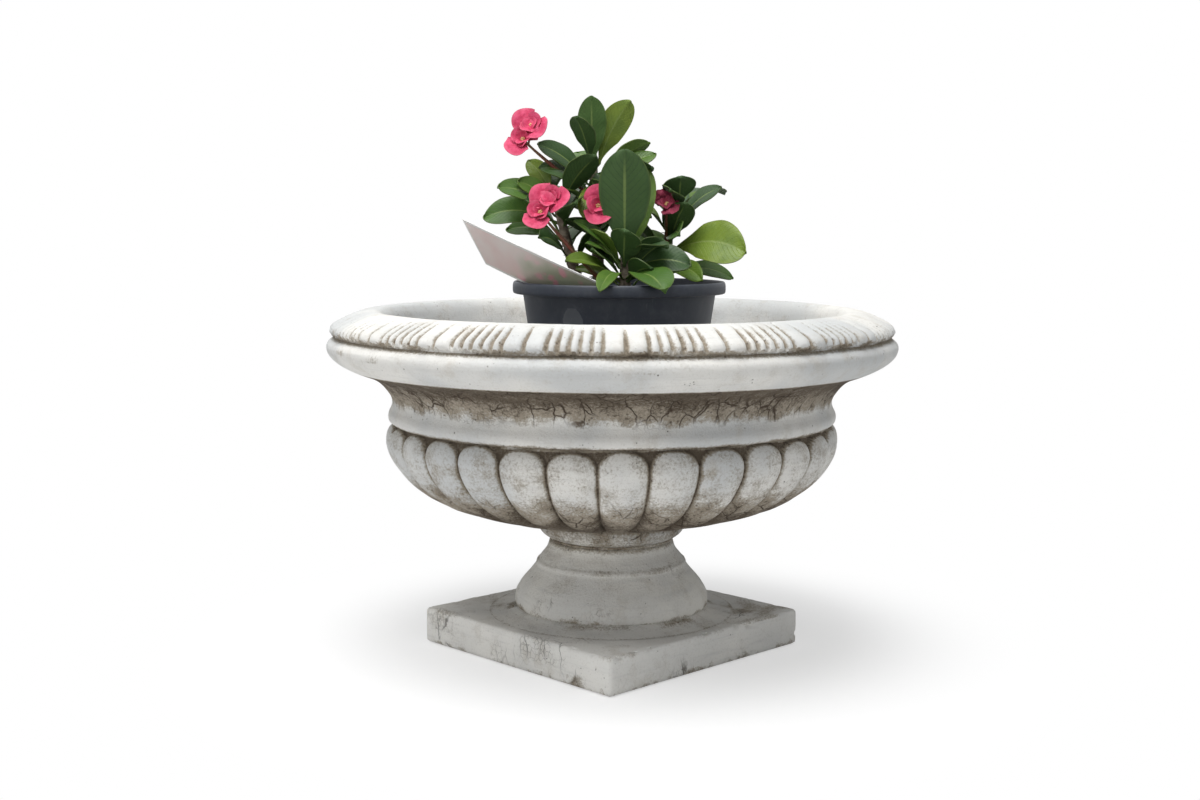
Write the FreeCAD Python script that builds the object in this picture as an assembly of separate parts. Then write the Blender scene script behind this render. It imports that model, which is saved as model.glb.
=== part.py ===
import FreeCAD, Part
import math
import os
from collections import namedtuple

from FreeCAD import Vector

# A cast-stone urn planter: a square plinth, a turned foot and a wide gadrooned bowl,
# bedded on each other in mortar, with a potted plant standing in the bowl.
# Millimetres, +Z up, origin at the centre of the plinth's underside.

# Plinth
PLINTH_SIDE = 267.0
PLINTH_THICKNESS = 36.0
PLINTH_ARRIS = 4.0  # rubbed-off edges round the top and down the corners
PLINTH_HOLE_RADIUS = 16.0

# Mortar bed between plinth and foot, trowelled out to a sloping skirt
BED_THICKNESS = 6.0
BED_SKIRT = 27.0  # how far the skirt runs out past the foot
BED_SIDES = 24  # strokes of the trowel round a bed, each leaving a flat

# Foot
FOOT_RADIUS = 96.5
FOOT_HEIGHT = 66.0
FOOT_SWELL = 7.0  # how far the lower moulding bulges past its chord
RIDGE_RADIUS = 74.5  # the sharp ridge between the two mouldings
RIDGE_HEIGHT = 45.0
SCOTIA_DEPTH = 2.2
WAIST_RADIUS = 62.5
PASSAGE_RADIUS = 20.0  # hollow core of the foot

# Mortar joint at the waist, raked back a little from the faces
JOINT_THICKNESS = 3.0
JOINT_RAKE = 1.0

# Bowl: collar, and the drain hole through the floor
COLLAR_RADIUS = 74.0
COLLAR_HEIGHT = 18.0
DRAIN_RADIUS = 13.0

# Bowl: belly, with its gadroons (raised lobes); levels are above the bowl's bottom
LOBE_COUNT = 30
LOBE_RELIEF = 9.0  # depth of the sharp grooves between the lobes
LOBE_TOP = 117.0
LOBE_OVERHANG = 4.5  # past the collar, where the lobes start
CHINE_RADIUS = 167.0
CHINE_HEIGHT = 38.0
FLARE_RADIUS = 213.0
FLARE_HEIGHT = 73.0
BELLY_RADIUS = 224.2
BELLY_HEIGHT = 98.0
# A lobe's section: places across it, as shares of its half width, and their depths,
# as shares of the relief
LOBE_SECTION = ((-1.0, 1.0), (-0.62, 0.2), (0.0, 0.0), (0.62, 0.2))

# Bowl: bead and cove
BEAD_STAND = 5.5  # how far the bead stands out of the wall
BEAD_WIDTH = 14.0
BEAD_HEIGHT = 118.5
COVE_RADIUS = 217.3  # narrowest place, just above the bead
COVE_HOLLOW = 12.5  # depth of the cove under its chord
SOFFIT_RADIUS = 254.0
SOFFIT_HEIGHT = 170.5

# Bowl: rolled edge and the sloping band of the rim
ROLL_RADIUS = 281.0
ROLL_HEIGHT = 194.5
ROLL_SWELL = 4.5
CREASE_RADIUS = 272.0
CREASE_HEIGHT = 206.0
BAND_RADIUS = 275.0
BAND_HEIGHT = 210.0
BAND_SWELL = 4.0
CREST_RADIUS = 236.0
CREST_HEIGHT = 229.0
CREST_FLAT = 5.0  # level top between the ribs' ends and the lip

# Bowl: V grooves over the band in groups: six of them with narrow ribs between, then one
# more between two wide ribs
FLUTE_GROUPS = 20
FLUTE_START = -2.2  # turn of the first group, in degrees
FLUTE_PLACES = (0.0, 0.11, 0.22, 0.33, 0.44, 0.55, 0.775)  # as shares of a group
FLUTE_DEPTH = 2.4

# Bowl: inside
MOUTH_RADIUS = 221.0
LIP_DROP = 13.0  # the rounded lip's fall from the crest to the mouth
NECK_WALL = 30.0  # wall thickness under the bead
FLOOR_RADIUS = 128.0
MOULD_SIDES = 72  # flats that stand for the round inside
FLOOR_HEIGHT = 55.0  # inside floor above the bowl's bottom

# Nursery pot, a little off the bowl's centre, and its compost
POT_HEIGHT = 201.0
POT_FOOT_RADIUS = 68.0
POT_WALL_RADIUS = 96.0  # outside, just under the rim band
POT_RIM_RADIUS = 105.5
POT_RIM_BAND = 12.0
POT_RIM_WALL = 2.5
POT_WALL = 1.8
POT_SIDES = 40  # flats that stand for its round wall
POT_SHIFT = 7.0
POT_SHIFT_TURN = 45.0
POT_SLOTS = 6  # drain slots in the corner between wall and floor
POT_SLOT_WIDTH = 12.0
POT_SLOT_HEIGHT = 8.0
SOIL_BELOW_RIM = 18.0
SOIL_CLEARANCE = 0.3

# Plant. Turns are seen from above, from +X towards +Y; rises are from the level.
STEM_SIDES = 8
STEM_ROOT_RADIUS = 7.0
STEM_TIP_RADIUS = 4.5
LEAF_SEAT = 0.3  # clearance between a stem and what grows from it
LEAF_THICKNESS = 1.6
LEAF_ARCH = 0.13  # rise of a level leaf's middle, as a share of its length
# Places along the blade and its width there, as shares of the leaf's length and width
BLADE = ((0.0, 0.13), (0.3, 0.5), (0.62, 0.97), (0.86, 0.84), (1.0, 0.22))
STALK_RADIUS = 1.5
STALK_SIDES = 5
BRACT_RADIUS = 9.5
BRACT_THICKNESS = 1.2
BRACT_SIDES = 7
BRACT_TILT = 22.0  # of each of a flower's two bracts, like a shallow V
BRACT_LAP = 1.5  # where they join

# at: how far up its stem; roll: turn about its own length
Leaf = namedtuple("Leaf", "at turn rise roll length width")
# out, place: where it stands in the compost; lean, to: slope from upright and its direction
Stem = namedtuple("Stem", "out place lean to length leaves stalks")
Stalk = namedtuple("Stalk", "at turn rise length flowers")

MIDDLE_STEM = Stem(
    out=24, place=189, lean=3, to=239, length=137,
    leaves=(
        Leaf(at=0.66, turn=262, rise=24, roll=10, length=52, width=28),
        Leaf(at=0.78, turn=61, rise=33, roll=-40, length=70, width=24),
        Leaf(at=0.82, turn=72, rise=39, roll=20, length=71, width=18),
        Leaf(at=0.82, turn=236, rise=39, roll=50, length=66, width=26),
        Leaf(at=0.84, turn=304, rise=-38, roll=10, length=56, width=16),
        Leaf(at=0.91, turn=341, rise=-26, roll=-20, length=42, width=30),
        Leaf(at=0.94, turn=305, rise=87, roll=0, length=71, width=29),
        Leaf(at=0.96, turn=51, rise=64, roll=20, length=72, width=30),
    ),
    stalks=(
        Stalk(at=0.76, turn=240, rise=38, length=82, flowers=2),
        Stalk(at=0.52, turn=318, rise=26, length=44, flowers=1),
    ),
)
FRONT_STEM = Stem(
    out=33, place=325, lean=4, to=306, length=44,
    leaves=(
        Leaf(at=0.50, turn=300, rise=-4, roll=10, length=84, width=18),
        Leaf(at=0.44, turn=261, rise=21, roll=30, length=66, width=24),
        Leaf(at=0.86, turn=313, rise=84, roll=0, length=109, width=50),
        Leaf(at=0.52, turn=340, rise=-4, roll=-8, length=82, width=38),
        Leaf(at=0.72, turn=258, rise=36, roll=20, length=46, width=20),
        Leaf(at=0.72, turn=31, rise=5, roll=-50, length=60, width=32),
        Leaf(at=0.81, turn=97, rise=74, roll=-40, length=99, width=34),
        Leaf(at=0.86, turn=234, rise=44, roll=30, length=60, width=22),
    ),
    stalks=(Stalk(at=0.10, turn=245, rise=46, length=110, flowers=2),),
)
RIGHT_STEM = Stem(
    out=40, place=79, lean=15, to=45, length=100,
    leaves=(
        Leaf(at=0.24, turn=40, rise=-1, roll=-40, length=69, width=22),
        Leaf(at=0.28, turn=346, rise=-5, roll=-50, length=70, width=20),
        Leaf(at=0.48, turn=11, rise=1, roll=-62, length=87, width=46),
        Leaf(at=0.62, turn=323, rise=6, roll=-50, length=46, width=24),
        Leaf(at=0.84, turn=61, rise=47, roll=-20, length=35, width=26),
        Leaf(at=0.96, turn=318, rise=53, roll=-10, length=35, width=34),
    ),
    stalks=(Stalk(at=0.56, turn=312, rise=60, length=44, flowers=1),),
)
LEFT_STEM = Stem(
    out=37, place=222, lean=15, to=237, length=107,
    leaves=(
        Leaf(at=0.42, turn=283, rise=24, roll=50, length=49, width=26),
        Leaf(at=0.57, turn=211, rise=10, roll=50, length=58, width=22),
        Leaf(at=0.73, turn=229, rise=5, roll=62, length=73, width=30),
        Leaf(at=0.79, turn=265, rise=24, roll=40, length=40, width=24),
        Leaf(at=0.88, turn=246, rise=36, roll=60, length=44, width=22),
        Leaf(at=0.96, turn=186, rise=50, roll=60, length=50, width=20),
    ),
    stalks=(),
)
STEMS = (MIDDLE_STEM, FRONT_STEM, RIGHT_STEM, LEFT_STEM)

# Plant label: a flat card leaning over the rim, with a stake down into the compost
LABEL_OUT = 97.0  # its top corner at the rim, from the pot's centre
LABEL_PLACE = 305.6
LABEL_TURN = 205.0
LABEL_RISE = 22.2
LABEL_ROLL = 127.0
LABEL_LENGTH = 156.0
LABEL_WIDTH = 45.0
LABEL_SLANT = 28.0  # how much shorter its lower edge is at the free end
LABEL_THICKNESS = 0.8
LABEL_LIFT = 1.0  # of that corner above the rim
STAKE_WIDTH = 15.0
STAKE_LENGTH = 30.0
STAKE_LEAN = 27.0  # of the stake from square across the card
STAKE_CLEARANCE = 0.3

# Levels
BED_Z = PLINTH_THICKNESS
FOOT_Z = BED_Z + BED_THICKNESS
JOINT_Z = FOOT_Z + FOOT_HEIGHT
BOWL_Z = JOINT_Z + JOINT_THICKNESS
FLOOR_Z = BOWL_Z + FLOOR_HEIGHT
POT_RIM_Z = FLOOR_Z + POT_HEIGHT
SOIL_Z = POT_RIM_Z - SOIL_BELOW_RIM

# Radii and levels of the bowl's wall that several cuts share
WALL_RADIUS = BELLY_RADIUS - LOBE_RELIEF
BEAD_Z = BOWL_Z + BEAD_HEIGHT
HEAD_Z = BOWL_Z + LOBE_TOP
CREASE_Z = BOWL_Z + CREASE_HEIGHT
CREST_Z = BOWL_Z + CREST_HEIGHT

UP = Vector(0, 0, 1)
ORIGIN = Vector(0, 0, 0)


def polar(radius, degrees, height=0.0):
    angle = math.radians(degrees)
    return Vector(radius * math.cos(angle), radius * math.sin(angle), height)


POT_CENTRE = polar(POT_SHIFT, POT_SHIFT_TURN)


class Outline:
    """Half a section, in the XZ plane, of a piece that is round about Z.

    A curve is drawn as a few chords, which keeps the facets few.
    """

    def __init__(self, radius, height):
        self.points = [Vector(radius, 0, height)]

    def to(self, radius, height):
        self.points.append(Vector(radius, 0, height))
        return self

    def bow(self, radius, height, sagitta, chords=2):
        """An arc that bulges by sagitta to the right of the way drawn."""
        here = self.points[-1]
        there = Vector(radius, 0, height)
        side = Vector(there.z - here.z, 0, here.x - there.x).normalize()
        arc = Part.Arc(here, (here + there) * 0.5 + side * sagitta, there)
        self.points += arc.toShape().discretize(chords + 1)[1:]
        return self

    def turned(self):
        """The solid as a lathe or a spinning template leaves it."""
        wire = Part.makePolygon(self.points + self.points[:1])
        return Part.Face(wire).revolve(ORIGIN, UP, 360)

    def in_flats(self, sides):
        """The solid with a number of flats in place of each round face."""
        rings = [[polar(p.x, 360.0 * i / sides, p.z) for i in range(sides)] for p in self.points]
        return faceted(rings, closed=True)


def flat(*points):
    return Part.Face(Part.makePolygon(list(points) + [points[0]]))


def facets(a, b, c, d):
    """One flat face through four corners, or two where the corners don't lie in a plane."""
    off_plane = (b - a).cross(c - a).normalize().dot(d - a)
    if abs(off_plane) < 1e-6:
        return [flat(a, b, c, d)]
    return [flat(a, b, c), flat(a, c, d)]


def skin(rings):
    """Flat faces from ring to ring, which have as many points each."""
    faces = []
    for near, far in zip(rings, rings[1:]):
        for i in range(len(near)):
            faces += facets(near[i - 1], near[i], far[i], far[i - 1])
    return faces


def annulus(outer, inner):
    """A level face between two rings."""
    return Part.Face([Part.makePolygon(ring + ring[:1]) for ring in (outer, inner)])


def solid_in(faces):
    shell = Part.Shell(faces)
    shell.sewShape()
    solid = Part.Solid(shell)
    if solid.Volume < 0:
        solid.reverse()
    return solid


def faceted(rings, closed=False):
    """A solid through rings of as many points each, joined by flat faces. It is capped
    at the first and the last ring, or closed joins the last ring to the first."""
    if closed:
        return solid_in(skin(rings + rings[:1]))
    return solid_in(skin(rings) + [flat(*rings[0]), flat(*rings[-1])])


def plinth():
    half = PLINTH_SIDE / 2
    slab = Part.makeBox(PLINTH_SIDE, PLINTH_SIDE, PLINTH_THICKNESS, Vector(-half, -half, 0))
    rubbed = [edge for edge in slab.Edges if edge.BoundBox.ZMax > PLINTH_THICKNESS / 2]
    slab = slab.makeChamfer(PLINTH_ARRIS, rubbed)
    return slab.cut(Part.makeCylinder(PLINTH_HOLE_RADIUS, PLINTH_THICKNESS))


def mortar_bed():
    outline = Outline(PASSAGE_RADIUS, BED_Z).to(FOOT_RADIUS + BED_SKIRT, BED_Z)
    outline.to(FOOT_RADIUS, FOOT_Z).to(PASSAGE_RADIUS, FOOT_Z)
    return outline.in_flats(BED_SIDES)


def foot():
    outline = Outline(PASSAGE_RADIUS, FOOT_Z).to(FOOT_RADIUS, FOOT_Z)
    outline.bow(RIDGE_RADIUS, FOOT_Z + RIDGE_HEIGHT, FOOT_SWELL)
    outline.bow(WAIST_RADIUS, JOINT_Z, -SCOTIA_DEPTH)
    outline.to(PASSAGE_RADIUS, JOINT_Z)
    return outline.turned()


def mortar_joint():
    outer = WAIST_RADIUS - JOINT_RAKE
    outline = Outline(PASSAGE_RADIUS, JOINT_Z).to(outer, JOINT_Z)
    outline.to(outer, BOWL_Z).to(PASSAGE_RADIUS, BOWL_Z)
    return outline.in_flats(BED_SIDES)


def casting():
    """The bowl up to the crease. Where the gadroons go, its outside lies hidden behind them."""
    z = BOWL_Z
    outline = Outline(DRAIN_RADIUS, z).to(WAIST_RADIUS, z)
    outline.to(COLLAR_RADIUS, z + COLLAR_HEIGHT)
    outline.to(COLLAR_RADIUS - LOBE_RELIEF, z + COLLAR_HEIGHT + LOBE_RELIEF)
    outline.to(CHINE_RADIUS - 2 * LOBE_RELIEF, z + CHINE_HEIGHT + 2 * LOBE_RELIEF)
    outline.to(WALL_RADIUS - LOBE_RELIEF, z + FLARE_HEIGHT + LOBE_RELIEF)
    outline.to(WALL_RADIUS - LOBE_RELIEF, BEAD_Z)
    outline.to(WALL_RADIUS + BEAD_STAND / 2, BEAD_Z)
    outline.bow(COVE_RADIUS, BEAD_Z + BEAD_WIDTH, BEAD_STAND, 3)
    outline.bow(SOFFIT_RADIUS, z + SOFFIT_HEIGHT, -COVE_HOLLOW, 4)
    outline.bow(ROLL_RADIUS, z + ROLL_HEIGHT, ROLL_SWELL)
    outline.to(CREASE_RADIUS, CREASE_Z).to(DRAIN_RADIUS, CREASE_Z)
    return outline.turned().cut(faceted([mould_ring(z) for z in (FLOOR_Z, HEAD_Z, CREASE_Z + LIP_DROP)]))


def mould_ring(height):
    """A ring of the bowl's inside, between its floor and its mouth."""
    if height < HEAD_Z:
        radius = FLOOR_RADIUS
    else:
        neck = WALL_RADIUS - NECK_WALL
        radius = neck + (MOUTH_RADIUS - neck) * (height - HEAD_Z) / (CREST_Z - LIP_DROP - HEAD_Z)
    return round_about(ORIGIN, radius, height, MOULD_SIDES)


def fluted_ring(radius, height, depth, dip):
    """A ring round the band's ribs. In each groove it is that much further in and lower."""
    group = 360.0 / FLUTE_GROUPS
    ring = []
    for i in range(FLUTE_GROUPS):
        for place, after in zip(FLUTE_PLACES, FLUTE_PLACES[1:] + (1.0,)):
            groove = FLUTE_START + (i + place) * group
            rib = FLUTE_START + (i + (place + after) / 2) * group
            ring += [polar(radius - depth, groove, height - dip), polar(radius, rib, height)]
    return ring


def rim():
    """The bowl from the crease upwards: ribs over the band, a level crest and the lip."""
    edge = BOWL_Z + BAND_HEIGHT
    shoulder = CREST_RADIUS + CREST_FLAT
    ribs = [
        fluted_ring(CREASE_RADIUS, CREASE_Z, FLUTE_DEPTH, 0),
        fluted_ring(BAND_RADIUS, edge, FLUTE_DEPTH, FLUTE_DEPTH / 2),
        fluted_ring((BAND_RADIUS + shoulder) / 2, (edge + CREST_Z) / 2 + BAND_SWELL, 0, FLUTE_DEPTH),
        fluted_ring(shoulder, CREST_Z, 0, 0),
    ]
    inside = [
        round_about(ORIGIN, CREST_RADIUS, CREST_Z, MOULD_SIDES),
        mould_ring(CREST_Z - LIP_DROP),
        mould_ring(CREASE_Z),
    ]
    faces = skin(ribs) + skin(inside)
    return solid_in(faces + [annulus(ribs[-1], inside[0]), annulus(ribs[0], inside[-1])])


def lobed_ring(radius, height, relief, droop=0.0):
    """A ring round the gadroons: rounded crests at the radius, and between them sharp
    grooves as deep as the relief. Droop lowers it towards the grooves."""
    half = 180.0 / LOBE_COUNT
    ring = []
    for lobe in range(LOBE_COUNT):
        for share, depth in LOBE_SECTION:
            turn = (2 * lobe + 1 + share) * half
            ring.append(polar(radius - depth * relief, turn, height - depth * droop))
    return ring


def gadroons():
    """The belly: from the collar its lobes widen to the chine, then curl up to round heads
    that die out in the wall under the bead."""
    z = BOWL_Z
    foot_z = z + COLLAR_HEIGHT
    chine = z + CHINE_HEIGHT
    inside = WALL_RADIUS - 2 * LOBE_RELIEF
    return faceted(
        [
            lobed_ring(COLLAR_RADIUS - LOBE_RELIEF, foot_z, 0),
            lobed_ring(COLLAR_RADIUS + LOBE_OVERHANG, foot_z, LOBE_RELIEF * 0.4),
            lobed_ring(CHINE_RADIUS, chine, LOBE_RELIEF, -LOBE_RELIEF),
            lobed_ring(FLARE_RADIUS, z + FLARE_HEIGHT, LOBE_RELIEF, -LOBE_RELIEF / 2),
            lobed_ring(BELLY_RADIUS, z + BELLY_HEIGHT, LOBE_RELIEF),
            lobed_ring(BELLY_RADIUS - LOBE_RELIEF / 3, z + LOBE_TOP - LOBE_RELIEF, LOBE_RELIEF * 0.6, 3),
            lobed_ring(WALL_RADIUS, z + LOBE_TOP, 0, 2 * LOBE_RELIEF),
            lobed_ring(WALL_RADIUS, BEAD_Z + BEAD_WIDTH / 2, 0),
            lobed_ring(inside, BEAD_Z + BEAD_WIDTH / 2, 0),
            lobed_ring(inside, z + FLARE_HEIGHT + 2 * LOBE_RELIEF, 0),
            lobed_ring(CHINE_RADIUS - 2 * LOBE_RELIEF, chine + 3 * LOBE_RELIEF, 0),
            lobed_ring(COLLAR_RADIUS - 2 * LOBE_RELIEF, foot_z + 3 * LOBE_RELIEF, 0),
        ],
        closed=True,
    )


def bowl():
    return casting().fuse([gadroons(), rim()])


def round_about(centre, radius, height, sides):
    return [centre + polar(radius, 360.0 * i / sides, height) for i in range(sides)]


def pot_ring(radius, height):
    return round_about(POT_CENTRE, radius, height, POT_SIDES)


def pot_radius(height):
    """The pot's outside radius at a level under its rim band."""
    rise = (height - FLOOR_Z) / (POT_HEIGHT - POT_RIM_BAND)
    return POT_FOOT_RADIUS + (POT_WALL_RADIUS - POT_FOOT_RADIUS) * rise


def nursery_pot():
    band = POT_RIM_Z - POT_RIM_BAND
    floor = FLOOR_Z + POT_WALL
    mouth = POT_RIM_RADIUS - POT_RIM_WALL
    outside = faceted(
        [
            pot_ring(POT_FOOT_RADIUS, FLOOR_Z),
            pot_ring(POT_WALL_RADIUS, band),
            pot_ring(POT_RIM_RADIUS, band),
            pot_ring(POT_RIM_RADIUS, POT_RIM_Z),
        ]
    )
    inside = faceted(
        [
            pot_ring(pot_radius(floor) - POT_WALL, floor),
            pot_ring(POT_WALL_RADIUS - POT_WALL, band),
            pot_ring(mouth, band + POT_WALL),
            pot_ring(mouth, POT_RIM_Z + POT_WALL),
        ]
    )
    slots = []
    for i in range(POT_SLOTS):
        place = Vector(POT_FOOT_RADIUS - POT_SLOT_HEIGHT, -POT_SLOT_WIDTH / 2, -POT_WALL)
        slot = Part.makeBox(3 * POT_SLOT_HEIGHT, POT_SLOT_WIDTH, POT_SLOT_HEIGHT + POT_WALL, place)
        slot.rotate(ORIGIN, UP, 360.0 * (i + 0.5) / POT_SLOTS)
        slot.translate(POT_CENTRE + UP * FLOOR_Z)
        slots.append(slot)
    return outside.cut(inside).cut(slots)


def potting_mix():
    floor = FLOOR_Z + POT_WALL
    gap = POT_WALL + SOIL_CLEARANCE
    plug = faceted(
        [
            pot_ring(pot_radius(floor) - gap, floor),
            pot_ring(pot_radius(SOIL_Z) - gap, SOIL_Z),
        ]
    )
    return plug.cut(label_card(STAKE_CLEARANCE))


def stem_point(stem, at):
    root = POT_CENTRE + polar(stem.out, stem.place, SOIL_Z)
    lean = math.radians(stem.lean)
    return root + (polar(math.sin(lean), stem.to) + UP * math.cos(lean)) * (stem.length * at)


def stem_radius(at):
    return STEM_ROOT_RADIUS + (STEM_TIP_RADIUS - STEM_ROOT_RADIUS) * at


def stem_solid(stem):
    shares = (0.0, 1.0 - STEM_TIP_RADIUS / stem.length, 1.0)
    radii = (STEM_ROOT_RADIUS, STEM_TIP_RADIUS, STEM_TIP_RADIUS / 2)
    return faceted([round_about(stem_point(stem, at), radius, 0, STEM_SIDES) for at, radius in zip(shares, radii)])


class Frame:
    """Directions at a turn and a rise: along, side (across it) and face (square to both)."""

    def __init__(self, turn, rise, roll=0.0):
        rise = math.radians(rise)
        roll = math.radians(roll)
        self.away = polar(1.0, turn)
        self.along = self.away * math.cos(rise) + UP * math.sin(rise)
        level = self.away.cross(UP)
        upper = level.cross(self.along)
        self.side = level * math.cos(roll) + upper * math.sin(roll)
        self.face = self.side.cross(self.along)
        self.upper = upper


def growth_root(stem, part, frame, inwards):
    """Where a leaf or a stalk starts, LEAF_SEAT off the side of its stem; inwards is
    how far it reaches from its own middle line towards the stem."""
    off = stem_radius(part.at) + LEAF_SEAT + inwards
    return stem_point(stem, part.at) + frame.away * off


def leaf_solid(stem, leaf):
    frame = Frame(leaf.turn, leaf.rise, leaf.roll)
    keel_inwards = LEAF_THICKNESS * max(0.0, frame.face.dot(frame.away))
    root = growth_root(stem, leaf, frame, keel_inwards)
    arch = 4 * LEAF_ARCH * leaf.length * math.cos(math.radians(leaf.rise))
    rings = []
    for share, wide in BLADE:
        middle = root + frame.along * (leaf.length * share) + frame.upper * (arch * share * (1 - share))
        half = frame.side * (leaf.width * wide / 2)
        rings.append([middle - half, middle - frame.face * LEAF_THICKNESS, middle + half])
    return faceted(rings)


def stalk_solid(stem, stalk):
    frame = Frame(stalk.turn, stalk.rise)
    root = growth_root(stem, stalk, frame, STALK_RADIUS * frame.along.z)
    rings = []
    for end in (root, root + frame.along * stalk.length):
        ring = []
        for i in range(STALK_SIDES):
            spoke = polar(STALK_RADIUS, 360.0 * i / STALK_SIDES)
            ring.append(end + frame.side * spoke.x + frame.upper * spoke.y)
        rings.append(ring)
    return faceted(rings)


def flower_solid(middle, frame):
    """Two round bracts side by side, rising from where they join."""
    tilt = math.radians(BRACT_TILT)
    bracts = []
    for hand in (-1, 1):
        outwards = frame.side * (hand * math.cos(tilt)) + frame.along * math.sin(tilt)
        normal = frame.along * math.cos(tilt) - frame.side * (hand * math.sin(tilt))
        centre = middle + outwards * (BRACT_RADIUS - BRACT_LAP)
        ring = []
        for i in range(BRACT_SIDES):
            spoke = polar(BRACT_RADIUS, 360.0 * i / BRACT_SIDES)
            ring.append(centre + outwards * spoke.x + frame.upper * spoke.y)
        bracts.append(faceted([ring, [point + normal * BRACT_THICKNESS for point in ring]]))
    return bracts[0].fuse(bracts[1])


def stalk_flowers(stem, stalk):
    frame = Frame(stalk.turn, stalk.rise)
    tip = growth_root(stem, stalk, frame, STALK_RADIUS * frame.along.z) + frame.along * stalk.length
    dip = BRACT_LAP * math.sin(math.radians(BRACT_TILT))
    first = tip + frame.along * (dip + LEAF_SEAT)
    step = frame.upper * (2 * BRACT_RADIUS + LEAF_SEAT)
    return [flower_solid(first + step * i, frame) for i in range(stalk.flowers)]


def label_card(clearance=0.0):
    """The label, or with a clearance the slit that it leaves in the compost."""
    frame = Frame(LABEL_TURN, LABEL_RISE, LABEL_ROLL)
    corner = POT_CENTRE + polar(LABEL_OUT, LABEL_PLACE, POT_RIM_Z + LABEL_LIFT)
    lean = math.radians(STAKE_LEAN)
    pull = frame.along * math.sin(lean) + frame.side * math.cos(lean)
    low = corner - frame.side * (LABEL_WIDTH + clearance)
    free = frame.along * LABEL_LENGTH
    stake = low + frame.along * STAKE_WIDTH - pull * (STAKE_LENGTH + clearance)
    back = frame.face * (LABEL_THICKNESS / 2 + clearance)
    outline = [
        corner,
        corner + free,
        low + free - frame.along * LABEL_SLANT,
        low + frame.along * (2 * STAKE_WIDTH + clearance),
        stake + frame.along * (STAKE_WIDTH / 2 + clearance),
        stake - frame.along * clearance,
        low - frame.along * clearance,
    ]
    return faceted([[point - back for point in outline], [point + back for point in outline]])


def write(node, shape):
    shape.exportStep("parts/%s.step" % node)


if __name__ == "__main__":
    os.makedirs("parts", exist_ok=True)
    write("plinth", plinth())
    write("plinth_mortar", mortar_bed())
    write("foot", foot())
    write("bowl_mortar", mortar_joint())
    write("bowl", bowl())
    write("nursery_pot", nursery_pot())
    write("potting_mix", potting_mix())
    write("stems", Part.makeCompound([stem_solid(stem) for stem in STEMS]))
    write("leaves", Part.makeCompound([leaf_solid(stem, leaf) for stem in STEMS for leaf in stem.leaves]))
    write("flower_stalks", Part.makeCompound([stalk_solid(stem, stalk) for stem in STEMS for stalk in stem.stalks]))
    flowers = [flower for stem in STEMS for stalk in stem.stalks for flower in stalk_flowers(stem, stalk)]
    write("flowers", Part.makeCompound(flowers))
    write("plant_label", label_card())
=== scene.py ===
import math
import random

import bpy
from mathutils import Matrix, Vector, noise


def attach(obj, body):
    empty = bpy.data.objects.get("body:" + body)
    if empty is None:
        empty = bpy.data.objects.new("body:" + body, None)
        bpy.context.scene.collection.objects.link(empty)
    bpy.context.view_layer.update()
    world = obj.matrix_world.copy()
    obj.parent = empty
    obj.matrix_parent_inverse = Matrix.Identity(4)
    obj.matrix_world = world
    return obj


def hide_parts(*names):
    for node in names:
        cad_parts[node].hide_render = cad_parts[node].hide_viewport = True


# Dresses the cast-stone urn planter: a gadrooned bowl with a fluted rim on a turned foot
# and a square plinth, with a potted plant and a blank label standing in it.
# Sizes are written in millimetres and made metres by MM. An outline is a list of
# (radius, height), and a shape function says where a vertex of a turned piece goes.

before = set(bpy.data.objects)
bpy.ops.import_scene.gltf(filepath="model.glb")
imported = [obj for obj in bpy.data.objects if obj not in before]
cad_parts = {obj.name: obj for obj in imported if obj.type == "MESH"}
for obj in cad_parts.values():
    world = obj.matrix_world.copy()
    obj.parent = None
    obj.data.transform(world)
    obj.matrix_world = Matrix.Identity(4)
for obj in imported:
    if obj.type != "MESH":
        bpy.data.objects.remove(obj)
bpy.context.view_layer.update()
MM = 0.001
UP = Vector((0, 0, 1))

# The plinth's width, the heights of the urn's parts and the drain that runs through them.
PLINTH_SIDE = 267.0
PLINTH_TOP = 36.0
BED_TOP = 42.0
FOOT_TOP = 108.0
BOWL_FOOT = 111.0
BOWL_FLOOR = 166.0
DRAIN_RADIUS = 16.0


# ---------------------------------------------------------------- modelling helpers


def only(piece):
    """Leaves this piece alone selected and active."""
    bpy.ops.object.select_all(action="DESELECT")
    piece.select_set(True)
    bpy.context.view_layer.objects.active = piece


def named(name):
    piece = bpy.context.object
    piece.name = name
    piece.data.name = name
    return piece


def added(primitive, name, **settings):
    """A new primitive, the only thing selected."""
    bpy.ops.object.select_all(action="DESELECT")
    primitive(**settings)
    return named(name)


def edit():
    """Opens the active piece with all of it selected."""
    bpy.ops.object.mode_set(mode="EDIT")
    bpy.ops.mesh.select_all(action="SELECT")


def done():
    bpy.ops.object.mode_set(mode="OBJECT")


def face_out(piece):
    """Points the piece's faces outwards."""
    only(piece)
    edit()
    bpy.ops.mesh.normals_make_consistent(inside=False)
    done()


def settle(piece):
    """Puts the piece's place into its mesh, and points its faces outwards."""
    only(piece)
    bpy.ops.object.transform_apply(location=True, rotation=True, scale=True)
    face_out(piece)


def move(piece, offset):
    """Moves the piece's mesh inside the piece."""
    only(piece)
    edit()
    bpy.ops.transform.translate(value=offset * MM)
    done()


def finish_with(piece, kind, **settings):
    """Adds a modifier and applies it."""
    only(piece)
    modifier = piece.modifiers.new(kind.title(), kind)
    for name, value in settings.items():
        setattr(modifier, name, value)
    bpy.ops.object.modifier_apply(modifier=modifier.name)


def cut_with(piece, cutter):
    """Takes the cutter's shape out of the piece, and the cutter out of the scene."""
    finish_with(piece, "BOOLEAN", operation="DIFFERENCE", object=cutter, solver="EXACT")
    bpy.data.objects.remove(cutter)


def smooth(piece, angle=40):
    only(piece)
    bpy.ops.object.shade_smooth_by_angle(angle=math.radians(angle))


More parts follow.
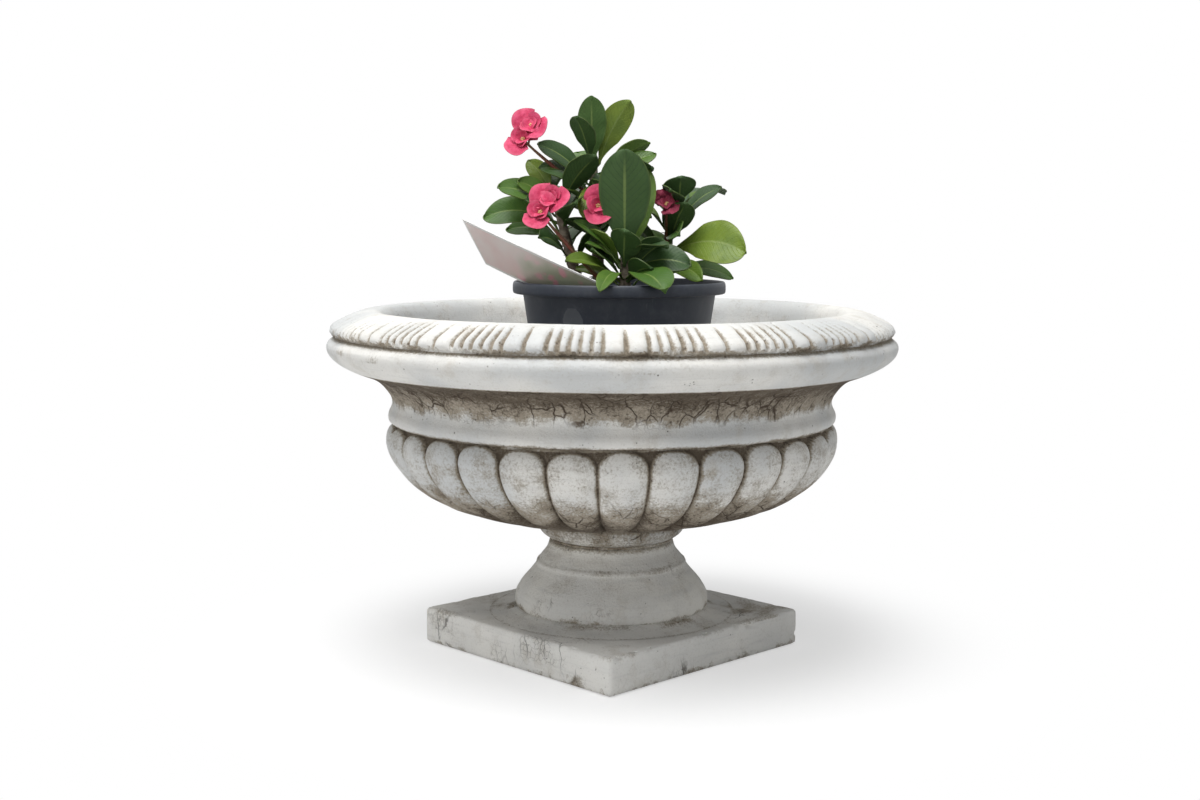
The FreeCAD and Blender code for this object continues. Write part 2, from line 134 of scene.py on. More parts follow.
def joined(name, pieces):
    bpy.ops.object.select_all(action="DESELECT")
    for piece in pieces:
        piece.select_set(True)
    bpy.context.view_layer.objects.active = pieces[0]
    if len(pieces) > 1:
        bpy.ops.object.join()
    return named(name)


def paint(piece, layer, values):
    """Writes a value per vertex, which the material reads by the layer's name. The values
    start over for the second side of a sheet, and a single one goes to all vertices."""
    made = piece.data.attributes.new(layer, "FLOAT", "POINT")
    total = len(piece.data.vertices)
    made.data.foreach_set("value", [values[i % len(values)] for i in range(total)])


def bend(t, p, q, r, s):
    """A Catmull-Rom curve from q to r, of which p and s are the neighbours."""
    square = (2 * p - 5 * q + 4 * r - s) * t * t
    cube = (3 * q - p - 3 * r + s) * t**3
    return 0.5 * (2 * q + (r - p) * t + square + cube)


def through(points, steps):
    """A smooth outline through the points, with that many steps from each to the next."""
    run = []
    last = len(points) - 1
    for i in range(last):
        near = (points[max(i - 1, 0)], points[i], points[i + 1], points[min(i + 2, last)])
        for k in range(steps):
            run.append(tuple(bend(k / steps, *axis) for axis in zip(*near)))
    return run + points[-1:]


def turned(name, outline, columns):
    """A ring is drawn up along the outline, as on a wheel, and its last ring is joined to
    its first."""
    radius, height = outline[0]
    ring = {"vertices": columns, "radius": radius * MM, "location": (0, 0, height * MM)}
    piece = added(bpy.ops.mesh.primitive_circle_add, name, **ring)
    bpy.ops.object.transform_apply(location=True)
    edit()
    for wide, high in outline[1:]:
        rise = {"value": (0, 0, (high - height) * MM)}
        bpy.ops.mesh.extrude_region_move(TRANSFORM_OT_translate=rise)
        grow = wide / radius
        bpy.ops.transform.resize(value=(grow, grow, 1), center_override=(0, 0, high * MM))
        radius, height = wide, high
    bpy.ops.mesh.select_all(action="DESELECT")
    done()
    count = len(piece.data.vertices)
    for vertex in piece.data.vertices:
        vertex.select = vertex.index < columns or vertex.index >= count - columns
    bpy.ops.object.mode_set(mode="EDIT")
    bpy.ops.mesh.bridge_edge_loops()
    done()
    face_out(piece)
    return piece


def carve(piece, shape, spread=None):
    """Moves each vertex: shape(turn in degrees, radius, height, x, y) in millimetres gives
    the new radius and height, how grimy it is there, painted shade included, and how
    cracked it is. Spread moves the columns first."""
    grime_and_shade, cracked = [], []
    for vertex in piece.data.vertices:
        x, y, z = vertex.co / MM
        radius = math.hypot(x, y)
        turn = math.degrees(math.atan2(y, x)) % 360
        if spread:
            turn = spread(turn)
        angle = math.radians(turn)
        x, y = math.cos(angle), math.sin(angle)
        radius, height, dirt_and_shade, cracks = shape(turn, radius, z, radius * x, radius * y)
        vertex.co = Vector((radius * x, radius * y, height)) * MM
        grime_and_shade.append(dirt_and_shade)
        cracked.append(cracks)
    paint(piece, "grime_and_shade", grime_and_shade)
    paint(piece, "cracked", cracked)


def between(value, low, high):
    """0 at low, 1 at high and a straight slope between."""
    return min(1.0, max(0.0, (value - low) / (high - low)))


def rough(x, y, z, size):
    """Smooth noise between about -1 and 1, whose waves are of that size in millimetres."""
    return noise.noise(Vector((x, y, z)) / size)


def polar(radius, degrees, height=0.0):
    angle = math.radians(degrees)
    return Vector((radius * math.cos(angle), radius * math.sin(angle), height))


def rotation(degrees, axis):
    return Matrix.Rotation(math.radians(degrees), 4, axis)


def dress(piece, node, body, material):
    """Puts the piece in its node's stead, on its body and in its material."""
    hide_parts(node)
    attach(piece, body)
    piece.data.materials.clear()
    piece.data.materials.append(material)


# ---------------------------------------------------------------- material helpers


class Wire:
    """A node's socket; arithmetic on it adds Math nodes to its tree."""

    def __init__(self, nodes, socket):
        self.nodes = nodes
        self.socket = socket

    def math(self, operation, *others, clamp=False):
        inputs = dict(enumerate((self,) + others))
        return self.nodes.node("ShaderNodeMath", {"operation": operation, "use_clamp": clamp}, inputs)

    def __add__(self, other):
        return self.math("ADD", other)

    def __mul__(self, other):
        return self.math("MULTIPLY", other)

    def __sub__(self, other):
        return self.math("SUBTRACT", other)

    def __rsub__(self, other):
        return self.nodes.node("ShaderNodeMath", {"operation": "SUBTRACT"}, {0: other, 1: self})

    __radd__ = __add__
    __rmul__ = __mul__

    def clamp(self):
        return self.math("ADD", 0.0, clamp=True)

    def most(self, other):
        return self.math("MAXIMUM", other)

    def least(self, other):
        return self.math("MINIMUM", other)

    def ramp(self, low, high):
        """Maps low..high smoothly to 0..1."""
        inputs = {"Value": self, "From Min": low, "From Max": high}
        return self.nodes.node("ShaderNodeMapRange", {"interpolation_type": "SMOOTHSTEP"}, inputs)


class Nodes:
    """A node tree whose nodes are added by their type."""

    def __init__(self, tree):
        self.tree = tree

    def node(self, kind, settings=None, inputs=None, out=0):
        made = self.tree.nodes.new(kind)
        for name, value in (settings or {}).items():
            setattr(made, name, value)
        for name, value in (inputs or {}).items():
            self.plug(value, made.inputs[name])
        return Wire(self, made.outputs[out])

    def plug(self, value, socket):
        """Links a wire to the socket, or sets the socket to a value."""
        if isinstance(value, Wire):
            self.tree.links.new(value.socket, socket)
        else:
            socket.default_value = value

    def mix(self, share, first, second, output):
        """Sends a blend of two shaders to the tree's output."""
        mixed = self.node("ShaderNodeMixShader", {}, {0: share, 1: first, 2: second})
        self.plug(mixed, self.tree.nodes[output].inputs["Surface"])


class Stuff(Nodes):
    """A material."""

    def __init__(self, name):
        self.material = bpy.data.materials.new(name)
        self.material.use_nodes = True
        super().__init__(self.material.node_tree)
        self.shader = self.tree.nodes["Principled BSDF"]
        self.place = self.node("ShaderNodeTexCoord", out="Object")

    def set(self, **inputs):
        for name, value in inputs.items():
            self.plug(value, self.shader.inputs[name.replace("_", " ")])

    def layer(self, name):
        return self.node("ShaderNodeAttribute", {"attribute_name": name}, out="Fac")

    def noise(self, scale, detail=4.0, roughness=0.55, place=None, out="Fac"):
        inputs = {"Vector": place or self.place, "Scale": scale}
        inputs.update({"Detail": detail, "Roughness": roughness})
        return self.node("ShaderNodeTexNoise", {}, inputs, out)

    def cells(self, scale, feature="DISTANCE_TO_EDGE", place=None):
        inputs = {"Vector": place or self.place, "Scale": scale}
        return self.node("ShaderNodeTexVoronoi", {"feature": feature}, inputs, "Distance")

    def stretched(self, x, y, z, place=None):
        inputs = {"Vector": place or self.place, "Scale": (x, y, z)}
        return self.node("ShaderNodeMapping", {}, inputs)

    def vector(self, operation, inputs, out=0):
        return self.node("ShaderNodeVectorMath", {"operation": operation}, inputs, out)

    def wobbled(self, scale, amount):
        """Object coordinates pushed about by noise, so that cells get crooked edges."""
        push = self.noise(scale, 3.0, 0.5, out="Color")
        centred = self.vector("SUBTRACT", {0: push, 1: (0.5, 0.5, 0.5)})
        sized = self.vector("SCALE", {0: centred, "Scale": amount})
        return self.vector("ADD", {0: self.place, 1: sized})

    def blend(self, share, first, second):
        return self.node("ShaderNodeMix", {"data_type": "RGBA"}, {0: share, 6: first, 7: second}, 2)

    def relief(self, *layers):
        """Bumps of (height wire, distance in metres), one over the other."""
        normal = None
        for wire, distance in layers:
            inputs = {"Height": wire, "Distance": distance, "Strength": 1.0}
            if normal:
                inputs["Normal"] = normal
            normal = self.node("ShaderNodeBump", {}, inputs)
        self.set(Normal=normal)


def colour(red, green, blue):
    return (red, green, blue, 1.0)


WHITE = colour(1, 1, 1)


# ---------------------------------------------------------------- cast stone and mortar


def cast_stone(name, pale, cool):
    """Weathered cement casting: pale and mottled, with brushed streaks and pits. The
    vertices' layers say where brown grime and painted shade lie and where the skin has cracked."""
    stuff = Stuff(name)
    grime_and_shade, cracked = stuff.layer("grime_and_shade"), stuff.layer("cracked")
    broad = stuff.noise(8.0, 3.0)
    cloud = stuff.noise(42.0, 5.0, 0.6)
    grain = stuff.noise(420.0, 5.0, 0.75)
    fine = stuff.noise(1600.0, 2.0, 0.6)
    brushed = stuff.noise(1.0, 4.0, 0.6, place=stuff.stretched(16, 16, 190))

    body = stuff.blend(broad.ramp(0.36, 0.64), pale, cool)
    body = stuff.blend(brushed.ramp(0.5, 0.75) * 0.4, body, colour(0.64, 0.635, 0.615))
    body = stuff.blend(cloud.ramp(0.50, 0.78) * 0.42, body, colour(0.54, 0.49, 0.41))
    body = stuff.blend(grain.ramp(0.50, 0.80) * 0.45, body, colour(0.46, 0.42, 0.36))

    speckle = (cloud - 0.5) * 0.5 + (grain - 0.5) * 1.1 + (brushed - 0.5) * 0.3
    # The grime layer holds brown grime and painted shade: under the roll, towards the top of the cove, at
    # the top of the collar, low on the gadroons, at the foot's fillet and on the plinth's top.
    soot_and_shade = grime_and_shade + speckle * grime_and_shade.ramp(0.0, 0.25)
    body = stuff.blend(soot_and_shade.ramp(0.08, 0.55) * 0.82, body, colour(0.262, 0.208, 0.138))
    body = stuff.blend(soot_and_shade.ramp(0.52, 0.92) * 0.88, body, colour(0.088, 0.066, 0.045))

    crooked = stuff.wobbled(55.0, 0.012)
    veins = stuff.cells(1.0, place=stuff.stretched(66, 66, 15, crooked))
    veins = veins.ramp(0.05, 0.006) * stuff.noise(30.0, 2.0).ramp(0.40, 0.56)
    net = stuff.cells(190.0, place=stuff.wobbled(150.0, 0.004)).ramp(0.07, 0.01)
    net = net * cloud.ramp(0.45, 0.6)
    cracks = (veins * cracked.ramp(0.25, 0.75)).most(net * cracked * 0.75).clamp()
    body = stuff.blend(cracks * 0.92, body, colour(0.055, 0.037, 0.024))

    pits = stuff.cells(260.0, "F1").ramp(0.26, 0.14) * stuff.noise(75.0, 3.0).ramp(0.60, 0.70)
    grimy_pits = stuff.cells(150.0, "F1").ramp(0.20, 0.12) * (grime_and_shade * 1.4 + cloud).ramp(0.85, 1.1)
    pits = pits.most(grimy_pits * 0.8)
    body = stuff.blend(pits * 0.8, body, colour(0.11, 0.085, 0.065))

    roughness = 0.86 + (grain - 0.5) * 0.12
    stuff.set(Base_Color=body, Roughness=roughness, Specular_IOR_Level=0.22)
    worn = ((cloud, 0.0009), (brushed, 0.0003), (grain, 0.0007))
    stuff.relief(*worn, (1.0 - pits, 0.0007), (1.0 - cracks, 0.0009), (fine, 0.00015))
    return stuff.material


bowl_stone = cast_stone("patinated_cast_stone", colour(0.84, 0.825, 0.785), colour(0.655, 0.665, 0.66))
# The foot's and the plinth's stone are made paler than the bowl's: painted light where the bowl shades
# them.
foot_stone_painted_paler = cast_stone("foot_cast_stone_painted_paler", colour(0.88, 0.86, 0.80), colour(0.76, 0.75, 0.715))
plinth_stone_painted_paler = cast_stone("plinth_cast_stone_painted_paler", colour(0.93, 0.91, 0.86), colour(0.82, 0.81, 0.775))
mortar = cast_stone("cement_mortar", colour(0.89, 0.87, 0.82), colour(0.79, 0.78, 0.745))


# ---------------------------------------------------------------- bowl: fluted rim

FLUTE_START = -2.2  # degrees
FLUTE_GROUPS = 20
FLUTE_GROUP = 18.0  # degrees
FLUTES = tuple(FLUTE_GROUP * share for share in (0.0, 0.11, 0.22, 0.33, 0.44, 0.55, 0.775))
FLUTE_COLUMNS = (-0.70, -0.42, -0.2, 0.0, 0.2, 0.42, 0.70)  # degrees to each side of a groove
WIDE_COLUMNS = (1.35, 2.7)  # more of them over the two wide ribs of a group
CREST_RADIUS = 236.0
EDGE_RADIUS = 277.6
FLUTE_SIZE = 1.9  # a groove's half width and depth at the crest
FLUTE_GROWTH = 1.3  # what is added to both at the edge

rim_columns = [flute + step for flute in FLUTES for step in FLUTE_COLUMNS]
rim_columns += [flute + step for flute in FLUTES[-2:] for step in WIDE_COLUMNS]
rim_columns.sort()
chance = random.Random(11)
flute_facts = [
    (chance.uniform(0.7, 1.2), chance.uniform(0.7, 1.25), chance.uniform(-0.12, 0.12))
    for _ in range(FLUTE_GROUPS * len(FLUTES))
]


def rim_spread(turn):
    """Gathers the columns at the grooves."""
    group, column = divmod(round(turn * len(rim_columns) / FLUTE_GROUP), len(rim_columns))
    return (FLUTE_START + group * FLUTE_GROUP + rim_columns[column]) % 360


def inner_wave(x, y, height):
    """The unevenness of the bowl's inside, which the rim and the core share."""
    return 0.8 * rough(x, y, height, 60)


def rim_shape(turn, radius, height, x, y):
    """Cuts the grooves, each with its own depth, length and slant, and rounds the ribs."""
    wave = 0.8 * rough(x, y, height, 70) + 0.3 * rough(x, y, height + 90, 16)
    dirt_and_shade, cracks = 0.0, 0.05
    if radius > CREST_RADIUS - 5 and height > 318:
        group, local = divmod((turn - FLUTE_START) % 360, FLUTE_GROUP)
        if local > FLUTE_GROUP - 1:
            group, local = (group + 1) % FLUTE_GROUPS, local - FLUTE_GROUP
        nearest = min(range(len(FLUTES)), key=lambda i: abs(local - FLUTES[i]))
        deep, long, skew = flute_facts[int(group) * len(FLUTES) + nearest]
        along = (radius - CREST_RADIUS) / (EDGE_RADIUS - CREST_RADIUS)  # 1 at the edge
        fade = between(along, 0.22 - 0.16 * long, 0.55)
        across = abs(local - FLUTES[nearest] - skew * (1 - along)) * math.radians(1) * radius
        width = FLUTE_SIZE + FLUTE_GROWTH * between(along, 0.2, 1.0)
        inside = max(0.0, 1 - (across / width) ** 1.6)
        depth = inside * fade * (FLUTE_SIZE + FLUTE_GROWTH * along) * (0.75 + 0.25 * deep)
        nose = between(along, 0.86, 1.0) ** 2 * between(across, 7.0, 2.0) * 1.3
        chip = max(0.0, rough(x, y, 5, 5.5) - 0.32) * 5 * between(along, 0.75, 0.95)
        height -= depth * 0.9 + nose + 0.3 * (1 - between(across, 1.0, 4.5)) * fade
        radius -= depth * 0.55 + nose * 0.8 + chip
        dirt_and_shade = (0.34 + 0.30 * deep) * max(0.0, 1 - (across / (width * 0.95)) ** 2) * fade
        edge_dirt = 0.30 * between(along, 0.9, 1.0) * between(rough(x, y, 0, 14), 0.0, 0.5)
        dirt_and_shade = max(dirt_and_shade, edge_dirt)
    if height < 320.2 and radius > 268:  # the crease over the roll
        dirt_and_shade = 0.46 + 0.5 * rough(x, y, 0, 25)
    elif radius < CREST_RADIUS - 6:  # the inside
        dirt_and_shade = 0.02 + 0.08 * between(322 - height, 0, 20) + 0.20 * max(0.0, rough(x, y, height, 30))
        cracks = 0.2
        inside = between(332 - height, 0, 12)
        wave += (inner_wave(x, y, height) - wave) * inside
    return radius + 0.6 * wave, height + 0.5 * wave, dirt_and_shade, cracks


CREST = (CREST_RADIUS, 339.6)
rim_face = [(EDGE_RADIUS, 320.6), (277.2, 323.2), (274.6, 326.2), (269, 329.4), (262, 332.7)]
rim_face += [(254, 336.0), (245, 338.7), CREST]
rim_inside = [CREST, (230, 338.4), (225.6, 334.2), (222.4, 328), (219.4, 316), (215.4, 300)]
rim_outline = through(rim_face, 2) + through(rim_inside, 2)[1:]
rim_outline += [(232, 296), (262, 300), (271.5, 312), (272.2, 316.4), (275.2, 317.6)]
rim = turned("fluted_rim", rim_outline, FLUTE_GROUPS * len(rim_columns))
carve(rim, rim_shape, rim_spread)


# ---------------------------------------------------------------- bowl: roll, cove and bead

BEAD_FOOT = 233.0
COVE_FOOT = 247.0
ROLL_FOOT = 283.4
ROLL_MIDDLE = 300.0


def core_shape(turn, radius, height, x, y):
    """Unevenness and grime of the roll, cove, bead and collar, and of the bowl's inside, with painted shade
    under the roll, towards the top of the cove and at the top of the collar.
    """
    wave = 0.9 * rough(x, y, height, 80) + 0.35 * rough(x, y, height, 18)
    ragged = 6.0 * rough(x, y, 0, 24) + 4.0 * rough(x, y, height, 8)
    dirt_and_shade, cracks = 0.03, 0.08
    if radius < DRAIN_RADIUS or height < BOWL_FOOT + 0.5:
        return radius, height, 0.3, 0.1
    if height > 226 and radius > 208:  # outside, above the gadroons
        if height > ROLL_MIDDLE:
            dirt_and_shade = 0.66 * between(height, 311.0, 315.0)
            dirt_and_shade = max(dirt_and_shade, 0.32 * between(rough(x, y, height * 4, 40), 0.25, 0.7))
        # Painted shade on the roll's underside, darker towards its foot.
        elif height > ROLL_FOOT + ragged * 0.12:
            dirt_and_shade = 0.16 * between(292 - height, 0, 9)
        # The cove: brown grime with cracks, painted darker towards the roll above it as the shade under the
        # roll.
        elif height > COVE_FOOT:
            dirt_and_shade = 0.52 + 0.38 * between(height + ragged, 256, 274)
            dirt_and_shade *= between(height + ragged * 0.9, COVE_FOOT, 256)
            cracks = 0.35 + 0.65 * between(height + ragged, COVE_FOOT + 1, 268)
        elif height < BEAD_FOOT:
            dirt_and_shade = 0.62 * between(232.6 + 0.25 * ragged - height, 0, 3)
            cracks = 0.4
        return radius + 0.55 * wave, height + 0.3 * wave, dirt_and_shade, cracks
    if radius < 90 and height < 135:  # the collar at the waist
        patch = between(rough(x, y, height, 30), -0.1, 0.5)
        # Tan grime with cracks; the band darkened at the top, under the gadroons, is painted shade.
        dirt_and_shade = 0.32 + 0.25 * patch + 0.3 * between(height, 124, 128)
        cracks = 0.45 + 0.55 * patch
    else:  # inside, with a dark tide mark where water stands
        tide = 0.40 * between(205 + 2 * ragged - height, 0, 25)
        dirt_and_shade = 0.10 + 0.20 * max(0.0, rough(x, y, height, 30)) + tide
        cracks = 0.2
        wave = inner_wave(x, y, height)
    return radius + 0.6 * wave, height, dirt_and_shade, cracks


bead_line = [(218.2, 229.8), (220.8, 232), (221.6, 236), (220.8, 240), (219, 243.8), (217.6, 248)]
cove_line = [(217.6, 250), (217.9, 253), (219.4, 257), (221.6, 260.4), (224.6, 264.4)]
cove_line += [(228.4, 268.6), (233.4, 272.8), (241, 277), (249, 280), (256, 282.6), (262.6, 285.6)]
roll_line = [(269, 289.2), (274, 293), (278, 297.4), (280.0, 302), (280.3, 306), (278.7, 309.6)]
roll_line += [(275.4, 312.4), (273.2, 314.0)]
wall_line = [(215.3, 300.6), (198, 245), (185.7, 228), (166, 205), (148, 186), (131, 172)]
collar_line = [(62.6, 111.8), (65.5, 113), (69.6, 116), (72.4, 120), (73.6, 125), (73.2, 129.5)]

core_outline = [(200, 229.2), (215.6, 229.4)] + through(bead_line, 3)
core_outline += through(cove_line + roll_line, 2)
core_outline += [(271.6, 316), (268, 318), (240, 314), (221, 306)] + through(wall_line, 2)
core_outline += [(120, 167.2), (60, BOWL_FLOOR), (DRAIN_RADIUS, BOWL_FLOOR), (13, 164.5), (13, 112.2)]
core_outline += [(14.5, BOWL_FOOT), (60.6, BOWL_FOOT)] + through(collar_line, 2)
core_outline += [(66, 136), (110, 156), (170, 190)]
core = turned("bowl_core", core_outline, 288)
carve(core, core_shape)


# ---------------------------------------------------------------- bowl: gadroons

LOBES = 30
LOBE_RELIEF = 9.0
HEAD_TOP = 228.3
HEAD_RISE = 19.0
HALF_LOBE = (0.1, 0.3, 0.5, 0.66, 0.77, 0.86, 0.93, 0.98)  # columns from the middle out
LOBE_COLUMNS = tuple(-share for share in reversed(HALF_LOBE)) + HALF_LOBE
lobe_facts = [
    (chance.uniform(-0.03, 0.03), chance.uniform(-1.4, 0.6), chance.uniform(-0.1, 0.14))
    for _ in range(LOBES)
]


def lobe_spread(turn):
    """Gathers the columns at the grooves."""
    lobe, column = divmod(round(turn * LOBES * len(LOBE_COLUMNS) / 360), len(LOBE_COLUMNS))
    return (lobe + 0.5 + LOBE_COLUMNS[column] / 2) * 360 / LOBES


def lobe_shape(turn, radius, height, x, y):
    """Swells each gadroon between its grooves, with a round head. Rho is 0 along its
    middle and 1 in its groove."""
    lobe = int(turn * LOBES / 360) % LOBES
    shift, lower, stained = lobe_facts[lobe]
    across = (turn * LOBES / 360 - lobe - 0.5) * 2
    across = max(-1.0, min(1.0, across + shift * (1 - abs(across))))
    top = HEAD_TOP + lower
    over = between(height, top - HEAD_RISE, top)
    rho = min(1.0, (abs(across) ** 2.5 + over**2.5) ** 0.4)
    relief = LOBE_RELIEF * between(radius, 31, 131)
    bump = relief * math.sqrt(max(0.0, 1 - rho**3.0))
    drop = relief - bump
    slope = between(216 - height, 0, 75) * math.radians(68)  # how far the surface faces down
    ragged = rough(x, y, height, 13)
    wave = 0.8 * rough(x, y, height, 45) + 0.35 * rough(x, y, height, 12)
    groove = between(rho, 0.84 - 0.06 * ragged, 0.99)
    # The gadroons grow darker towards the bottom: partly brown grime, partly painted shade where they face
    # down.
    low = between(196 + 12 * ragged - height, 0, 48)
    low_grime_and_shade = 0.80 * low + stained * low + 0.16 * between(abs(across), 0.3, 1) * low
    dirt_and_shade = max(0.9 * groove**1.3, 0.19 + 0.14 * ragged, low_grime_and_shade)
    if height > top - 0.6:
        dirt_and_shade = 0.54 + 0.3 * ragged
    if height > 228.8:  # the ledge under the bead
        return radius - drop, height, 0.8, 0.2
    radius -= drop * math.cos(slope) - 0.6 * wave
    return radius, height + drop * math.sin(slope) * 0.9, min(dirt_and_shade, 1.0), 0.12 + 0.75 * low


lobe_line = [(60, 126), (72, 128.2), (76.5, 128.8), (84, 130), (98, 132.6), (116, 136), (134, 140.2)]
lobe_line += [(149, 144.4), (162, 148.6), (172, 152.4), (180, 156.6), (187, 160.6), (192.6, 164.6)]
lobe_line += [(198, 168.6), (206, 176), (212.6, 184), (218, 192), (222, 200), (223.8, 207)]
shoulder_heights = (209, 211, 213, 215, 217, 218.5)
head_heights = (220, 221.4, 222.8, 224, 225, 226, 226.8, 227.6, 228.4, 229.4)
lobe_outline = through(lobe_line, 2)
lobe_outline += [(224.3 - 0.0004 * (h - 208) ** 3, h) for h in shoulder_heights]
lobe_outline += [(223.9 - 0.14 * (h - 219), h) for h in head_heights]
lobe_outline += [(221.4, 231.5), (200, 231.5), (160, 176), (110, 150)]
gadroons = turned("gadroons", lobe_outline, LOBES * len(LOBE_COLUMNS))
carve(gadroons, lobe_shape, lobe_spread)

bowl = joined("urn_bowl", [rim, core, gadroons])
smooth(bowl, 55)
dress(bowl, "bowl", "urn", bowl_stone)


# ---------------------------------------------------------------- foot, mortar and plinth

FILLET_Z = 87.5  # the fillet between the foot's bell and its neck


def foot_shape(turn, radius, height, x, y):
    """Unevenness, with grime at the foot's edge, a painted shadow line at its fillet and a darker band
    under the joint.
    """
    if radius < 30 or height < BED_TOP + 0.2 or height > FOOT_TOP - 0.2:
        return radius, height, 0.3, 0.1
    wave = 0.8 * rough(x, y, height, 40) + 0.35 * rough(x, y, height, 11)
    ragged = rough(x, y, height, 14)
    patch = between(rough(x, y, height, 45), 0.0, 0.5)
    dirt_and_shade = 0.05 + 0.14 * patch + 0.42 * between(46 + 6 * ragged - height, 0, 5)
    # A patchy line of painted shadow along the fillet between the bell and the neck.
    if 83 < height < 91:
        fillet = between(4 - abs(height - FILLET_Z), 0, 2)
        dirt_and_shade = max(dirt_and_shade, (0.16 + 0.3 * max(0.0, rough(x, y, 0, 22))) * fillet)
    dirt_and_shade = max(dirt_and_shade, 0.45 * between(height, 102, 107))
    cracks = 0.12 + 0.8 * patch * between(rough(x, y, 3 * height, 60), 0.1, 0.4)
    return radius + 0.6 * wave, height, dirt_and_shade, cracks


bell_line = [(96.6, 43.5), (97.2, 47), (96.8, 52), (95.6, 56.6), (93.4, 60.6), (90.6, 65), (87, 69.6)]
bell_line += [(82.6, 74.6), (78.6, 79.4), (75.8, 83.4), (75.2, 86.0)]
neck_line = [(74.4, 87.8), (72.4, 89.6), (69.6, 93), (66.6, 96.6), (64.2, 100.4), (62.7, 105)]
neck_line += [(62.2, 107)]
foot_outline = [(20, FOOT_TOP), (20, BED_TOP), (90, BED_TOP), (95.6, BED_TOP)]
foot_outline += through(bell_line, 3) + through(neck_line, 3) + [(61.4, FOOT_TOP)]
foot = turned("urn_foot", foot_outline, 288)
carve(foot, foot_shape)
smooth(foot, 50)
dress(foot, "foot", "urn", foot_stone_painted_paler)


def joint_shape(turn, radius, height, x, y):
    """Ragged where it shows."""
    if radius < 40:
        return radius, height, 0.4, 0.2
    return radius + 1.2 * rough(x, y, height, 9), height, 0.55 + 0.3 * rough(x, y, height, 15), 0.4


joint_outline = [(20, FOOT_TOP), (60.5, FOOT_TOP), (61.6, 109), (61.6, 110), (60.6, BOWL_FOOT)]
joint = turned("waist_mortar", joint_outline + [(20, BOWL_FOOT)], 180)
carve(joint, joint_shape)
smooth(joint)
dress(joint, "bowl_mortar", "urn", mortar)


def bed_shape(turn, radius, height, x, y):
    """A skirt with a wandering edge, pitted and grimy beside the foot."""
    if radius < 40 or height < PLINTH_TOP + 0.2:
        return radius, height, 0.3, 0.2
    if radius > 98:
        radius = 97 + (radius - 97) * (1 + 0.05 * rough(x, y, 0, 45) + 0.02 * rough(x, y, 0, 12))
    lift = 0.5 * rough(x, y, 0, 8) * between(radius, 97, 106)
    pitted = between(rough(x, y, 0, 30), -0.1, 0.3) * between(5 - abs(radius - 100), 0, 3)
    dirt_and_shade = 0.05 + 0.36 * pitted + 0.20 * max(0.0, rough(x, y, 0, 18))
    return radius, max(PLINTH_TOP, height + lift), dirt_and_shade, 0.25 + 0.4 * pitted


bed_outline = [(20, PLINTH_TOP), (123, PLINTH_TOP), (119, 36.5), (114, 37.3), (108, 38.4)]
bed_outline += [(103, 39.6), (99.5, 40.9), (97.4, 41.9), (92, BED_TOP), (20, BED_TOP)]
bed = turned("bed_mortar", bed_outline, 240)
carve(bed, bed_shape)
smooth(bed)
dress(bed, "plinth_mortar", "urn", mortar)


def wear(plinth):
    """Rubs and chips the plinth's arrises, leaves the trowel's rings on its top, and says
    where it is grimy and cracked, and where the bowl's shadow is painted on its top."""
    half = PLINTH_SIDE / 2
    grime_and_shade, cracked = [], []
    for vertex in plinth.data.vertices:
        x, y, z = vertex.co / MM
        side, out = max(abs(x), abs(y)), math.hypot(x, y)
        on_top = z > PLINTH_TOP - 3
        worn = 1.0 * rough(x, y, z, 60) + 0.7 * rough(x, y, z, 17) + 0.35 * rough(x, y, z, 6)
        corner = min(abs(x), abs(y)) > half - 4.5
        edge = corner or (side > half - 4.5 and z > PLINTH_TOP - 6)
        chip = max(0.0, rough(x, y, z, 9) - 0.28) * 9 if edge else 0.0
        if z > 1.0 and side > half - 5.5:
            pull = 1 + (0.35 * worn - chip) / side
            vertex.co.x *= pull
            vertex.co.y *= pull
        if on_top:
            rings = math.sin(out / 5.5 + 1.2 * rough(x, y, 0, 40))
            trowel = 0.25 * rings * between(60 - abs(out - 130), 0, 40)
            vertex.co.z = min(PLINTH_TOP, z + 0.25 * worn - 0.2 - chip * 0.5 + trowel) * MM
        low = between(7 + 11 * rough(x, y, 0, 34) + 9 * rough(x, y, z, 7) - z, 0, 11)
        smear = between(rough(x + out, y - out, z, 42), 0.15, 0.6) * (0.26 if on_top else 0.12)
        # Painted shadow of the bowl on the right of the plinth's top, written into the grime layer.
        shaded = 0.30 * between(polar(1.0, 30).xy.dot((x, y)), 60, 120)
        shaded *= between(rough(x, y, 0, 30), -0.2, 0.3) * on_top
        grime_and_shade.append(0.02 + max(0.42 * low, smear, shaded))
        cracked.append(0.12 + 0.5 * between(rough(x, y, z, 50), 0.15, 0.45))
    paint(plinth, "grime_and_shade", grime_and_shade)
    paint(plinth, "cracked", cracked)


def square_plinth():
    """A cast block with a bevel, remeshed finely enough to wear, and drilled for the drain."""
    middle = (0, 0, PLINTH_TOP / 2 * MM)
    plinth = added(bpy.ops.mesh.primitive_cube_add, "urn_plinth", size=1, location=middle)
    plinth.scale = (PLINTH_SIDE * MM, PLINTH_SIDE * MM, PLINTH_TOP * MM)
    settle(plinth)
    finish_with(plinth, "BEVEL", width=3.6 * MM, segments=4, limit_method="ANGLE")
    finish_with(plinth, "REMESH", mode="VOXEL", voxel_size=2.2 * MM)
    wear(plinth)
    drill = {"vertices": 96, "radius": DRAIN_RADIUS * MM, "depth": 60 * MM, "location": middle}
    cut_with(plinth, added(bpy.ops.mesh.primitive_cylinder_add, "drain_drill", **drill))
    smooth(plinth, 60)
    return plinth


dress(square_plinth(), "plinth", "urn", plinth_stone_painted_paler)


# ---------------------------------------------------------------- nursery pot and compost

